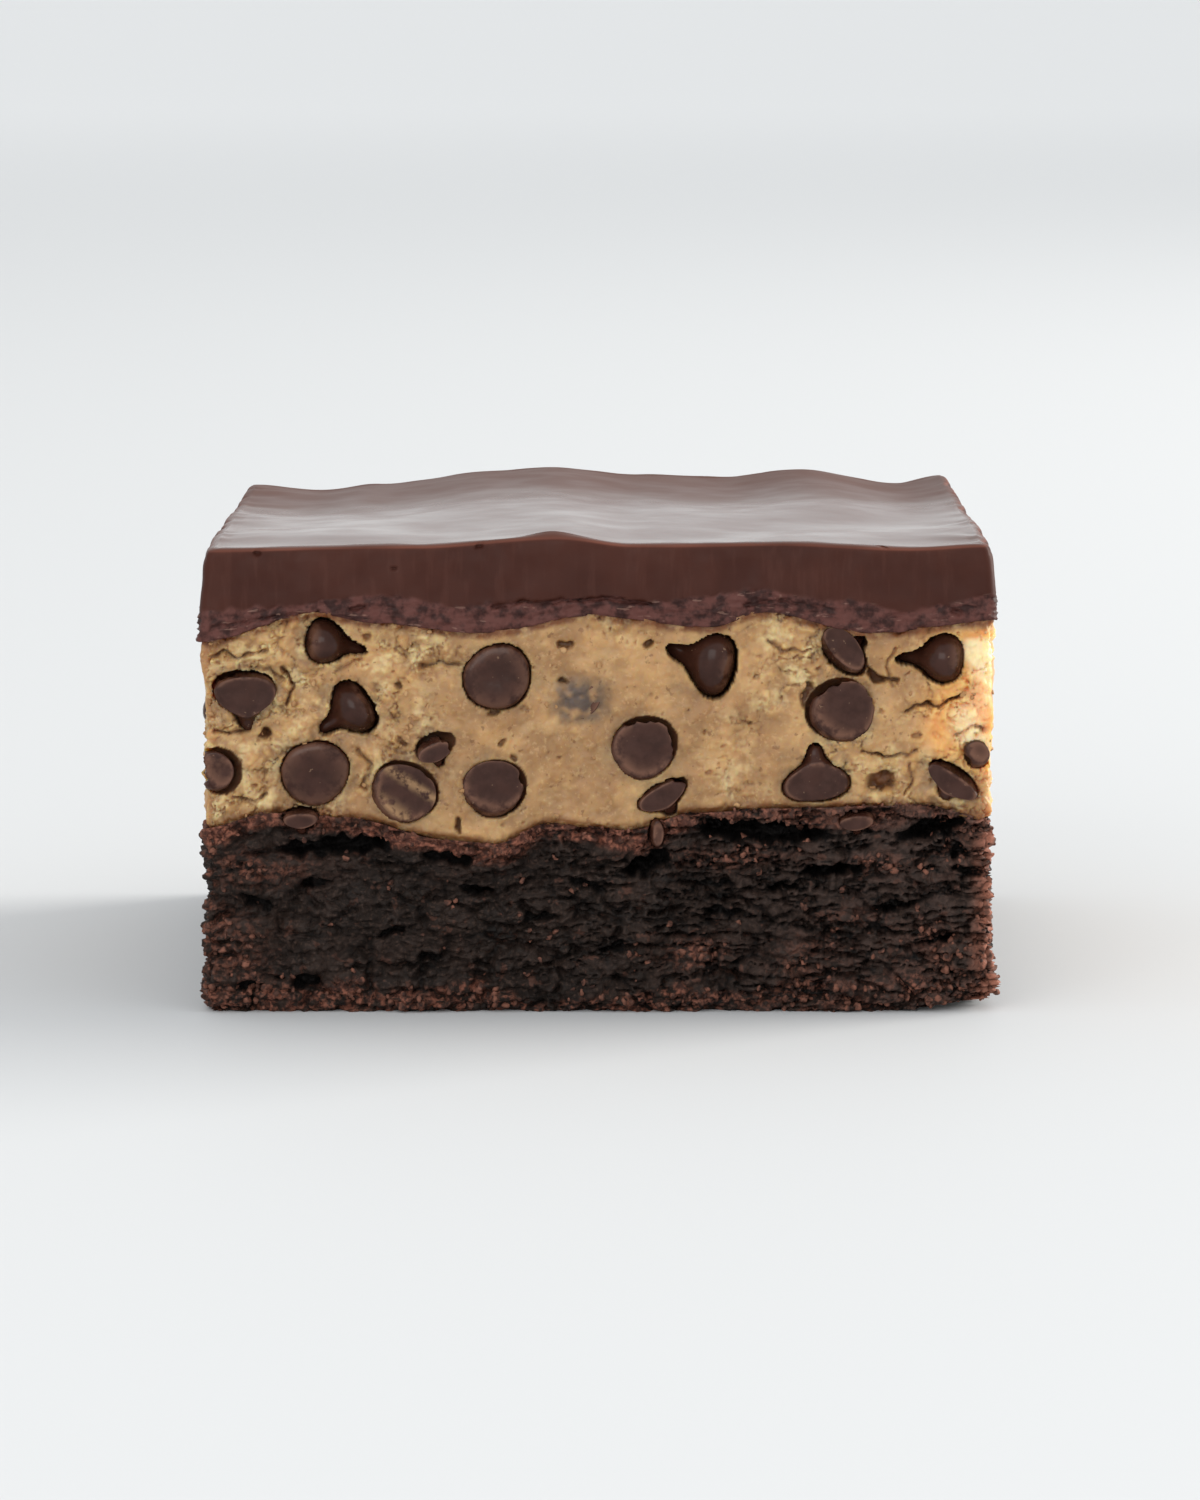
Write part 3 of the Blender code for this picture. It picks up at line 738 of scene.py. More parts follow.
fudgyMaterial = newMaterial("fudgy crumb", {"Specular IOR Level": 0.2}, fudgyLook)
doughMaterial = newMaterial("cookie dough", {
    "Specular IOR Level": 0.35, "Subsurface Weight": 0.5, "Subsurface Scale": 0.004,
    "Subsurface Radius": (1.0, 0.45, 0.15),
}, doughLook)
ganacheMaterial = newMaterial("set ganache", {"Specular IOR Level": 0.18}, ganacheLook)
chipMaterial = newMaterial("chocolate chip", {"Specular IOR Level": 0.21}, chipLook)
redCrumbMaterial = newMaterial("brownie crumb", {
    "Roughness": 0.75, "Specular IOR Level": 0.25,
}, crumbLook((0.032, 0.015, 0.0115), (0.21, 0.085, 0.055)))
paleCrumbMaterial = newMaterial("dough crumb", {
    "Roughness": 0.6, "Specular IOR Level": 0.3,
}, crumbLook((0.36, 0.19, 0.08), (0.5, 0.3, 0.14)))


def floorLook(tree, where):
    away = put(tree, "ShaderNodeVectorMath", {0: where}, operation="LENGTH").outputs[1]
    # painted shade: the floor is painted darker near the cake and paler far off
    return {"Base Color": mixed(tree, ramped(tree, away, 0.3, 4.0), (0.63, 0.645, 0.66), (0.84, 0.85, 0.86))}


floorMaterial = newMaterial("plain floor", {"Roughness": 0.7, "Specular IOR Level": 0.2}, floorLook)

print("materials ready")


# how the three layers get their relief


def position(tree):
    return tree.nodes.new("GeometryNodeInputPosition").outputs[0]


def moved(tree, geometry, offset):
    return put(tree, "GeometryNodeSetPosition", {"Geometry": geometry, "Offset": offset}).outputs[0]


def outwardsBy(tree, geometry, amount):  # moves each point along its outward way
    outward = named(tree, "outward", "FLOAT_VECTOR")
    return moved(tree, geometry, onVector(tree, "SCALE", outward, {"Scale": amount}))


def shaken(tree, geometry, size, amount, share):  # a small free shift of each point
    strength = times(tree, share, amount * mm)
    return moved(tree, geometry, freeShift(tree, position(tree), size, strength))


def summed(tree, source, shapes, total=0.0):  # every shape times the depth that the tree's input gives it
    for shape, depth in shapes:
        total = calc(tree, "ADD", total, times(tree, shape, source.outputs[depth]))
    return total


def finish(tree, output, geometry, material):
    done = put(tree, "GeometryNodeSetMaterial", {"Geometry": geometry, "Material": material}).outputs[0]
    tree.links.new(done, output.inputs[0])
    return tree


fudgy = {
    "relief": {
        "Lump depth": 0.00095, "Small depth": 0.0004, "Crack depth": 0.0011,
        "Crumb depth": 0.00026, "Grain depth": 0.00026,
    },
    "rows": 124,
    "backRows": 60,
    "dip": 0.35,  # how far the hidden top lies below the dough
    # (rise, distance from the centre) of the cut faces
    "side": [(0, 34.1), (0.08, 34.8), (0.18, 34.6), (0.34, 34.4), (0.5, 34.3), (0.66, 34.3),
             (0.82, 34.4), (1, 34.4)],
    # hollows under the crust: (right, up, width, tall, deep, tilt)
    "hollows": [
        (-22.8, 14.5, 11.0, 1.9, 3.0, 3), (-13.0, 13.4, 5.0, 1.3, 2.0, -8), (4.2, 13.0, 5.0, 1.8, 2.6, 24),
        (14.4, 15.7, 14.0, 2.1, 3.4, -3), (20.4, 12.4, 6.5, 1.3, 2.4, 2), (29.0, 16.0, 7.0, 1.9, 2.8, 14),
        (-29.6, 9.6, 3.4, 1.0, 1.4, -20), (-5.0, 8.2, 4.0, 0.8, 1.2, 8), (11.0, 8.8, 5.0, 0.9, 1.5, -4),
        (25.6, 9.2, 4.4, 0.8, 1.4, 6), (-18.0, 7.0, 3.0, 0.9, 1.1, 14), (31.6, 12.3, 3.0, 0.9, 1.3, -12),
        (10.2, 11.2, 5.0, 0.8, 1.3, 3), (16.4, 10.9, 4.0, 0.8, 1.3, -6), (31.2, 14.0, 1.6, 1.5, 1.8, 0),
        (29.4, 6.2, 4.4, 0.7, 1.2, 14), (24.4, 7.2, 3.6, 0.7, 1.1, -10), (-10.5, 10.6, 4.2, 0.9, 1.3, -14),
        (-24.4, 11.2, 3.6, 0.8, 1.2, 10), (-1.0, 11.2, 3.4, 0.9, 1.3, -20), (-14.6, 4.8, 3.0, 0.9, 1.1, 12),
        (-25.4, 2.6, 2.8, 1.6, 1.6, 0), (-30.4, 2.3, 2.4, 1.3, 1.4, 0), (1.4, 5.6, 3.2, 0.9, 1.2, 10),
    ],
    # on each other side: count, and how far along they reach
    "drawn": {"count": 4, "reach": 26, "heights": (14.4, 14.8, 12.4), "deep": 2.4},
    "drawnLow": {"count": 4, "reach": 27, "deep": 1.3},
    # rusty places on the front: (right, up, half width, half height)
    "rusty": [
        (-29.8, 12.7, 4.2, 1.3), (-31.8, 4.2, 3.0, 3.2), (12.4, 13.6, 5.0, 0.9), (24.2, 13.0, 2.6, 1.0),
        (31.6, 13.4, 2.6, 2.4), (18.6, 4.8, 3.4, 1.5), (29.6, 5.2, 4.0, 2.2), (-8.6, 14.2, 2.2, 0.7),
        (8.4, 5.0, 2.4, 1.2), (21.8, 8.4, 2.4, 0.8),
    ],
}


def fudgyTree():
    tree, source, output = newTree("fudgyRelief", fudgy["relief"])
    where, seen, carved = position(tree), named(tree, "seen"), named(tree, "carved")
    lumpEdge = cells(tree, warped(tree, where, 3.4, 2.4), 3.4, "DISTANCE_TO_EDGE", (0.75, 0.75, 1.5))
    parted = patches(tree, where, 2.8, 0.4, 0.6, 2.0, to=(0.25, 1.0))  # lumps join in places
    lumps = times(tree, minus(tree, ramped(tree, lumpEdge, 0.0, 0.15), 1.0), parted)
    smallEdge = cells(tree, warped(tree, where, 1.2, 0.9), 1.5, "DISTANCE_TO_EDGE", (1, 1, 1.5))
    small = minus(tree, ramped(tree, smallEdge, 0.0, 0.22), 1.0)
    flaky = ramped(tree, axes(tree, where)[0], -0.016, 0.01, (0.3, 1.0))
    flakes = cloud(tree, warped(tree, where, 1.6, 0.8), 2.6, 3.0, 0.6, (0.4, 0.4, 2.2))
    crackNear = calc(tree, "ABSOLUTE", minus(tree, flakes, 0.5))
    cracks = times(tree, minus(tree, ramped(tree, crackNear, 0.0, 0.04), 1.0), flaky)
    crumbNear = cells(tree, warped(tree, where, 0.8, 0.4), 0.75)
    swell = times(tree, minus(tree, cloud(tree, where, 4.5, 2.0), 0.45), 0.0018)
    total = summed(tree, source, (
        (lumps, "Lump depth"), (small, "Small depth"), (cracks, "Crack depth"),
        (ramped(tree, crumbNear, 0.1, 0.75, (0.4, -0.6)), "Crumb depth"),
        (minus(tree, cloud(tree, where, 0.45, 4.0, 0.65), 0.5), "Grain depth"),
    ), swell)
    total = times(tree, total, seen)
    geometry = outwardsBy(tree, source.outputs[0], minus(tree, total, carved))
    geometry = shaken(tree, geometry, 0.9, 0.45, seen)
    # painted shade: the carved places and the crevices between lumps, flakes and cracks are kept as "deep"
    # and painted near black
    deep = ramped(tree, minus(tree, times(tree, total, 0.6), carved), -0.00035, -0.0014)
    creviceShade = (
        times(tree, ramped(tree, lumpEdge, 0.01, 0.08, (0.85, 0.0)), parted),
        times(tree, ramped(tree, smallEdge, 0.0, 0.07, (0.6, 0.0)), parted),
        times(tree, ramped(tree, crackNear, 0.008, 0.028, (1.0, 0.0)), flaky),
    )
    for dark in creviceShade:
        deep = calc(tree, "MAXIMUM", deep, dark)
    return finish(tree, output, kept(tree, geometry, "deep", deep), fudgyMaterial)


dough = {
    "relief": {"Swell depth": 0.0016, "Crumb depth": 0.00065, "Grain depth": 0.00022},
    "rows": 124,
    "backRows": 60,
    "overlap": 0.15,  # how far the dough starts below the brownie's top edge
    "side": [(0, 33.6), (0.03, 34.05), (0.3, 34.1), (0.7, 34.1), (1, 34.3)],
    # pits in the cut face: (right, up, width, tall, deep, tilt)
    "pits": [
        (18.2, 27.6, 1.5, 2.9, 1.0, -6), (24.5, 20.2, 3.2, 2.3, 1.1, 20), (-2.7, 32.1, 1.8, 0.9, 0.9, 0),
        (4.5, 32.2, 1.3, 0.8, 0.8, 0), (-3.1, 28.9, 0.9, 0.7, 0.8, 0), (-8.4, 23.6, 1.0, 0.7, 0.7, 20),
        (-7.4, 22.2, 0.8, 0.6, 0.6, 0), (-17.0, 23.7, 1.1, 0.8, 0.7, -30), (23.6, 17.6, 0.9, 0.6, 0.6, 0),
        (-32.3, 21.2, 1.0, 2.3, 1.6, 0), (-28.9, 24.3, 1.6, 0.9, 0.8, 30), (-12.2, 16.4, 0.7, 1.7, 1.0, 8),
        (12.9, 25.4, 0.9, 0.6, 0.5, 10), (9.6, 21.0, 0.8, 0.6, 0.5, -20), (27.6, 24.2, 1.0, 0.7, 0.6, 10),
        (-20.0, 32.8, 1.3, 0.7, 0.6, 10), (13.6, 29.4, 0.7, 0.6, 0.5, 0), (29.0, 17.6, 1.7, 0.7, 0.7, 8),
        (24.0, 29.3, 2.2, 1.2, 1.3, -30), (-9.0, 26.2, 1.6, 0.7, 0.8, 10), (-17.4, 28.6, 1.2, 0.6, 0.7, -20),
    ],
    # on each other side, with the least and most of: up, width, tall, deep, tilt
    "drawnPits": {
        "count": 16, "reach": 32, "spans": ((18.5, 33), (0.7, 1.8), (0.5, 1.1), (0.5, 1.0), (-40, 40)),
    },
    "drawnCracks": {"count": 9, "reach": 31, "heights": (19.5, 32), "step": 1.5, "width": 0.28, "deep": 0.65},
    # cracks: (points, width, deep)
    "cracks": [
        ([(-15.4, 30.2), (-14.0, 30.6), (-12.0, 30.4)], 0.35, 0.7),
        ([(26.7, 26.4), (28.4, 27.0), (29.6, 26.8), (31.3, 27.7)], 0.3, 0.8),
        ([(-22.7, 29.7), (-21.6, 30.4), (-20.4, 31.0)], 0.3, 0.5),
        ([(-33.2, 24.6), (-31.8, 24.4), (-30.2, 24.7)], 0.3, 0.8),
        ([(-33.9, 30.8), (-32.4, 31.4), (-30.9, 31.0), (-28.6, 31.7)], 0.3, 0.7),
        ([(-27.4, 30.2), (-26.4, 28.4), (-26.8, 26.8)], 0.3, 0.8),
        ([(-20.9, 22.9), (-19.6, 21.6), (-20.4, 19.6)], 0.3, 0.7),
        ([(-28.6, 19.2), (-29.9, 18.4), (-31.6, 18.8)], 0.3, 0.7),
        ([(14.6, 32.4), (16.2, 31.5), (18.6, 31.7)], 0.25, 0.5),
        ([(25.6, 31.8), (24.8, 30.2), (25.4, 28.6)], 0.25, 0.6),
        ([(-30.1, 30.2), (-28.4, 30.0), (-27.4, 29.2)], 0.3, 0.6),
        ([(22.9, 22.8), (24.9, 22.2), (27.6, 22.9)], 0.3, 0.7),
        ([(23.0, 30.4), (24.4, 29.2), (25.8, 29.0)], 0.35, 1.0),
        ([(26.6, 19.2), (27.3, 20.4), (26.9, 21.8)], 0.28, 0.6),
        ([(31.0, 24.3), (32.6, 24.9), (33.9, 24.6)], 0.28, 0.6),
    ],
}


def doughTree():
    tree, source, output = newTree("doughRelief", dough["relief"])
    where, seen, carved = position(tree), named(tree, "seen"), named(tree, "carved")
    crumbly = named(tree, "crumbly")
    crumbNear = cells(tree, warped(tree, where, 0.9, 0.7), 1.0)
    crumbs = times(tree, ramped(tree, crumbNear, 0.1, 0.8, (0.3, -0.5)), crumbly)
    ridged = calc(tree, "ABSOLUTE", minus(tree, cloud(tree, where, 3.0, 3.0, 0.6), 0.5))
    fissures = times(tree, minus(tree, ramped(tree, ridged, 0.0, 0.02), 1.0), crumbly)
    crumbs = calc(tree, "ADD", crumbs, times(tree, fissures, 0.8))
    crumbs = calc(tree, "ADD", crumbs, patches(tree, where, 1.0, 0.66, 0.74, 2.0, to=(0.0, -0.7)))
    grain = minus(tree, cloud(tree, where, 0.5, 4.0, 0.6), 0.5)
    grain = times(tree, grain, calc(tree, "ADD", times(tree, crumbly, 2.2), 1.0))
    swell = minus(tree, cloud(tree, where, 3.4, 3.0, 0.5), 0.5)
    total = summed(tree, source, ((swell, "Swell depth"), (crumbs, "Crumb depth"), (grain, "Grain depth")))
    total = times(tree, total, seen)
    geometry = outwardsBy(tree, source.outputs[0], minus(tree, total, carved))
    geometry = shaken(tree, geometry, 1.1, 0.35, seen)
    # painted shade: the carved pits and cracks and the low places are kept as "deep" and painted dark
    deep = ramped(tree, minus(tree, times(tree, total, 0.8), carved), -0.00025, -0.0011)
    return finish(tree, output, kept(tree, geometry, "deep", deep), doughMaterial)


ganache = {
    "relief": {"Cut depth": 0.0005, "Band depth": 0.0012, "Wave depth": 0.00045, "Ripple depth": 0.00003},
    "rows": 46,
    "overlap": 0.12,
    "side": [(0, 34.5), (0.35, 34.4), (0.8, 34.1), (0.93, 33.95), (0.975, 33.8), (1, 33.5)],
    "smoothLine": [
        (-33.9, 35.0), (-30.9, 35.3), (-26.6, 35.5), (-23.1, 36.0), (-18.8, 36.5), (-15.4, 36.0),
        (-12.8, 35.5),
        (-6.7, 35.8), (0.2, 36.3), (4.5, 35.9), (8.8, 36.3), (14.0, 36.9), (19.1, 36.2), (22.6, 36.0),
        (26.0, 35.0), (29.5, 35.5), (32.5, 36.4), (34.3, 36.4),
    ],
    "pits": [
        (30.9, 35.0, 1.0, 0.6, 0.6, 0), (-20.7, 35.3, 1.7, 0.5, 0.6, 0), (-10.2, 40.6, 1.0, 0.5, 0.4, -20),
        (24.6, 40.8, 1.1, 0.5, 0.4, 10), (-29.4, 40.0, 0.9, 0.5, 0.4, 0), (-17.6, 38.8, 0.5, 0.4, 0.3, 0),
    ],
    "cracks": [
        ([(-9.2, 35.4), (-6.0, 35.9), (-2.0, 36.0), (1.2, 36.2), (4.6, 35.7)], 0.22, 0.6),
        ([(-33.4, 33.6), (-29.0, 34.4), (-24.0, 35.0)], 0.2, 0.4),
        ([(12.6, 35.5), (16.2, 36.0), (20.4, 35.2)], 0.2, 0.4),
    ],
}


def ganacheTree():
    tree, source, output = newTree("ganacheRelief", ganache["relief"])
    where, seen = position(tree), named(tree, "seen")
    top, low = named(tree, "top"), named(tree, "low")

    def waves(size, detail, rough, share, factors=(1, 1, 1)):
        return times(tree, minus(tree, cloud(tree, where, size, detail, rough, factors), 0.5), share)

    total = summed(tree, source, (
        (waves(6.0, 2.0, 0.55, minus(tree, 1.0, top)), "Cut depth"),
        (waves(0.9, 4.0, 0.65, low, (0.5, 0.5, 2.2)), "Band depth"),
        (waves(15.0, 1.0, 0.4, top), "Wave depth"), (waves(2.6, 1.0, 0.5, top), "Ripple depth"),
    ))
    total = minus(tree, times(tree, total, seen), named(tree, "carved"))
    geometry = outwardsBy(tree, source.outputs[0], total)
    geometry = shaken(tree, geometry, 1.4, 0.3, times(tree, low, seen))
    return finish(tree, output, geometry, ganacheMaterial)


def rowsOf(count):
    return np.linspace(0, 1, count + 1)


def layerMade(name, points, faces, facts, labels, material, tree, sizes):
    obj = meshOf(name, points, faces, marksOf(facts, labels), material)
    for polygon in obj.data.polygons:  # hidden faces are flat, so they don't bend the shading of what shows
        if any(facts["side"][v] < 0 for v in polygon.vertices):
            polygon.use_smooth = False
    obj.data.update()
    return grown(obj, tree, sizes)


def brownieLayer(name, stretches, rows, tree):
    points, faces, facts = skinOf(stretches, fudgy["side"], rowsOf(rows), foot, doughFloor, dip=fudgy["dip"])
    for side in range(sideCount):
        carvedFrom(points, facts, side, hollowsOf[side], [], 0.5)
    outer = facts["side"] >= 0
    x, y, z = points.T
    uneven = softNoise(x / 4.0, y / 4.0, z / 3.0 + 9)
    reach = np.minimum(np.abs(x), np.abs(y))  # how far towards a corner
    low = ease((2.5 + 1.7 * ease((reach - 10) / 22) + 2.2 * uneven - z) / 1.6) * 0.9
    edge = ease((reach - 31.6 + 2.0 * uneven) / 2.4)
    crumbly = np.maximum(low, edge * 0.8)
    for right, up, wide, high in fudgy["rusty"]:
        place = np.exp(-((x - right) / wide) ** 2 - ((z - up) / high) ** 2) * np.clip(0.85 + uneven, 0, 1)
        crumbly = np.where(facts["side"] == 0, np.maximum(crumbly, place), crumbly)
    facts["crumbly"] = np.where(outer, crumbly, 0)
    facts["crust"] = np.where(outer, ease((z - facts["roof"] + 1.9 + 1.0 * uneven) / 0.8), 0)
    facts["seen"] = facts["seen"] * (1 - 0.4 * ease((facts["rise"] - 0.95) / 0.05))  # calmer under the dough
    pressSeats(points, facts)
    return layerMade(name, points, faces, facts, ("crumbly", "crust"), fudgyMaterial, tree, fudgy["relief"])


def spaced(drawn, n, share):  # the place along a face of the nth of a row of things
    return -drawn["reach"] + 2 * drawn["reach"] * (n + share) / drawn["count"]


def hollowsDrawn():  # for each side: the front's as placed, the others' from a seed
    draw = random.Random(chips["seed"] + 1)
    more = random.Random(chips["seed"] + 2)
    found = [fudgy["hollows"]]
    high, low = fudgy["drawn"], fudgy["drawnLow"]
    for _ in range(sideCount - 1):
        pits = []
        for n in range(high["count"]):
            x = spaced(high, n, draw.uniform(0.1, 0.6))
            z = draw.choice(high["heights"])
            wide, tall = draw.uniform(4.5, 9.5), draw.uniform(0.9, 1.3)
            pits.append((x, z, wide, tall, high["deep"], draw.uniform(-6, 6)))
        for n in range(low["count"]):
            x = spaced(low, n, more.uniform(0.2, 0.8))
            wide, tall = more.uniform(2.5, 5.0), more.uniform(0.7, 1.1)
            pits.append((x, more.uniform(6.0, 10.0), wide, tall, low["deep"], more.uniform(-15, 15)))
        found.append(pits)
    return found


hollowsOf = hollowsDrawn()
relief = fudgyTree()
brownieFront = brownieLayer("brownie_front", frontOutline, fudgy["rows"], relief)
brownieRest = brownieLayer("brownie_rest", rearOutline, fudgy["backRows"], relief)
print("brownie ready")


def pitsDrawn(side):  # pits and cracks of the dough's other sides
    draw = random.Random(100 + side)
    pits, cracks = [], []
    drawn = dough["drawnPits"]
    for n in range(drawn["count"]):
        x = spaced(drawn, n, draw.random())
        pits.append((x, *(draw.uniform(*span) for span in drawn["spans"])))
    drawn = dough["drawnCracks"]
    for n in range(drawn["count"]):
        x, z = spaced(drawn, n, draw.random()), draw.uniform(*drawn["heights"])
        turn = draw.uniform(-0.7, 0.7)
        right, up = drawn["step"] * math.cos(turn), drawn["step"] * math.sin(turn)
        points = [(x + k * right, z + k * up + draw.uniform(-0.4, 0.4)) for k in range(3)]
        cracks.append((points, drawn["width"], drawn["deep"]))
    return pits, cracks


def doughBase(x, y):
    return doughFloor(x, y) - dough["overlap"]


def doughLayer(name, stretches, rows, tree):
    points, faces, facts = skinOf(stretches, dough["side"], rowsOf(rows), doughBase, doughTop)
    for side in range(sideCount):
        pits, cracks = (dough["pits"], dough["cracks"]) if side == 0 else pitsDrawn(side)
        carvedFrom(points, facts, side, pits, cracks, 0.3)
    outer = facts["side"] >= 0
    crumbly = np.zeros(len(points))
    facts["veil"] = np.zeros(len(points))
    for side in range(sideCount):
        pick = np.flatnonzero(facts["side"] == side)
        x, _, z = facing(points[pick], side).T
        rough = 0.45 + 1.5 * softNoise(x / 7.0, side * 9.0, z / 5.0)
        if side == 0:
            left = 1 - ease((x + 25.5) / 6.0)
            lowRight = ease((x - 20) / 5) * (1 - ease((z - 22) / 3))
            middle = 1 - ease((np.abs(x) - 8) / 8)
            rough = np.maximum(rough * (1 - 0.75 * middle), np.maximum(left * 0.95, lowRight * 0.8))
            cluster = np.exp(-((x - 1.9) ** 2 / 4 + (z - 33.6) ** 2 / 1.2))
            rough = np.maximum(rough, cluster)
            veil = np.exp(-(((x + 1.5) / 2.3) ** 4 + ((z - 27.3) / 1.9) ** 4))
            facts["veil"][pick] = veil * np.clip(0.9 + 1.1 * softNoise(x * 1.2, 4.0, z * 1.2), 0, 1)
        crumbly[pick] = np.clip(rough, 0, 1)
    facts["crumbly"] = np.where(outer, np.maximum(crumbly, 0.12), 0)
    x, y, z = points.T
    through = ease((x - 26.0) / 7.5) * ease(-y - 33.0)  # light shines through the front's right end
    through = through * ease((z - 19.5) / 5.0) * ease((34.0 - z) / 2.0)
    uneven = np.clip(0.85 + 0.5 * softNoise(x / 3, 1.5, z / 2.5), 0, 1)
    facts["glow"] = np.where(outer, 0.95 * through * uneven, 0)
    stain = np.maximum(ease((z - facts["roof"] + 0.9) / 0.5), 0.8 * ease((facts["floor"] + 1.0 - z) / 0.6))
    facts["stain"] = np.where(outer, stain, 0)
    pressSeats(points, facts, skip=(veiledChip,))
    facts["smudge"] = facts["smudge"] * (0.6 + 0.4 * facts["crumbly"])
    labels = ("crumbly", "smudge", "seat", "stain", "veil", "glow")
    return layerMade(name, points, faces, facts, labels, doughMaterial, tree, dough["relief"])


relief = doughTree()
doughFront = doughLayer("dough_front", frontOutline, dough["rows"], relief)
doughRest = doughLayer("dough_rest", rearOutline, dough["backRows"], relief)
print("dough ready")


def ganacheBase(x, y):
    return doughTop(x, y) - ganache["overlap"]


def ganacheLayer(tree):
    rings = [(0.985, 1), (0.975, 2), (0.965, 2), (0.955, 4)]
    rings += [(share, 4) for share in np.linspace(0.945, 0.06, 56)]
    rows = rowsOf(ganache["rows"])
    points, faces, facts = skinOf(wholeOutline, ganache["side"], rows, ganacheBase, ganacheTop, rings)
    carvedFrom(points, facts, 0, ganache["pits"], ganache["cracks"], 0.25)
    x, y, z = points.T
    sideRows = facts["side"] >= 0
    high = ~sideRows & (z > 38.5)
    top = np.zeros(len(points))
    top[high] = 1.0
    top[sideRows] = ease((facts["rise"][sideRows] - 0.96) / 0.04) * 0.6
    facts["outward"][high] = (0, 0, 1)
    facts["seen"][high] = 1.0
    near = np.maximum(np.abs(x), np.abs(y))
    facts["seen"][high] *= ease((34.0 - near[high]) / 2.2) * 0.85 + 0.15
    low = np.zeros(len(points))
    for side in range(sideCount):
        pick = np.flatnonzero(facts["side"] == side)
        fx, _, fz = facing(points[pick], side).T
        line = along(ganache["smoothLine"], fx if side == 0 else -fx)
        line = line + 0.35 * softNoise(fx * 0.9, side, fz * 0.9)
        low[pick] = 1 - ease((fz - line + 0.2) / 0.4)
    facts["low"], facts["top"] = low, top
    # the upper edge of the other sides is worn, the top has furrows, a ridge and one fold, and the cut faces
    # get a painted highlight along their upper edge
    worn = 0.55 * np.clip(softNoise(x / 1.9, y / 1.9, 6.6) + 0.12, 0, 1) * ease((facts["rise"] - 0.84) / 0.12)
    worn = worn * (facts["side"] > 0)
    points[:, :2] -= facts["outward"][:, :2] * worn[:, None] * (1 - high)[:, None]
    furrow = 0.09 * np.sin(y * 1.1 + 6 * softNoise(x / 9, y / 6, 0.4)) * ease((np.abs(x) - 27.5) / 5)
    furrow = furrow * np.clip(0.6 + softNoise(y / 7, x / 20, 3.3), 0, 1)
    points[high, 2] += furrow[high]
    # painted highlight: a light band along the upper edge of each cut face
    rim = np.exp(-((facts["rise"] - 0.985) / 0.018) ** 2)
    facts["rim"] = np.where(sideRows, rim * np.clip(0.75 + 0.6 * softNoise(x / 4, y / 4, 2.2), 0, 1), 0)
    ridge = np.exp(-((near - 33.3) / 0.45) ** 2) * (0.12 + 0.1 * softNoise(x / 3, y / 3, 7.7))
    points[high, 2] += ridge[high]
    fold = np.exp(-((x + 4.0) ** 2 / 3.5 + (y + 32.5) ** 2 / 6.0)) * 0.35
    points[high, 2] += fold[high]
    pressSeats(points, facts)
    obj = meshOf("ganache_slab", points, faces, marksOf(facts, ("low", "top", "rim")), ganacheMaterial)
    for polygon in obj.data.polygons:
        if polygon.normal.z < -0.7:
            polygon.use_smooth = False
    return grown(obj, tree, ganache["relief"])


ganachePiece = ganacheLayer(ganacheTree())
print("ganache ready")


# chips as bodies of their own

sideNames = ("front", "right", "back", "left")
chipPieces = []
smears = {8: ((-1.9, 0.65), (1.0, 0.34))}  # dough dragged over cut chips
for number, (spec, side) in enumerate(allChips):
    within = number if side == 0 else (number - len(frontChips)) % chips["perSide"]
    node = f"chip_{sideNames[side]}_{within + 1:02d}"
    points, faces, sliced = chipShape(spec, number)
    if number == veiledChip:
        points[:, 1] += chips["veiledDeeper"]
    placed = chipPlaced(points, spec, side)
    limit, proud = face + 0.05, chips["mostProud"]
    farLeft, farRight = limit + proud * (side == 3), limit + proud * (side == 1)
    placed[:, 0] = np.clip(placed[:, 0], -farLeft, farRight)
    placed[:, 1] = np.clip(placed[:, 1], -limit - proud, limit + proud)
    cut = np.clip(sliced / 0.15, 0, 1)
    smear = np.zeros(len(points))
    for along0, width in smears.get(number, ()):
        across = points[:, 0] * 0.55 + points[:, 2] * 0.83 if number == 8 else points[:, 0]
        smear = np.maximum(smear, np.exp(-((across - along0) / width) ** 2) * cut)
    rowOf = (np.arange(len(points)) - 1) // chips["segments"]
    rimRow = np.exp(-((rowOf - 4.0) / 2.2) ** 2) * (1 - cut)
    rimCut = cut * np.exp(-((sliced - 0.15) / 0.3) ** 2)
    marks = {"cut": cut, "smear": smear, "rim": np.maximum(rimRow * 0.6, rimCut)}
    chipPieces.append((meshOf(node + "_body", placed, faces, marks, chipMaterial), node))
print("chips ready")


# loose crumbs, laid by Geometry Nodes on the finished layers

crumbs = {
    "sizes": {"Density": 60000.0, "Smallest": 0.35, "Largest": 1.0, "Radius": 0.0005, "Sunk": 0.0, "Seed": 7},
    "flatness": (1.0, 0.8, 0.62),
    "lump": 0.45,  # size of the noise that makes each crumb uneven
    "unevenness": 0.55,
    "subdivisions": 2,
}


def randomValue(tree, low, high, seed, kind="FLOAT"):
    slots, output = ((2, 3), 1) if kind == "FLOAT" else ((0, 1), 0)
    inputs = {slots[0]: low, slots[1]: high, "Seed": seed}
    return put(tree, "FunctionNodeRandomValue", inputs, data_type=kind).outputs[output]


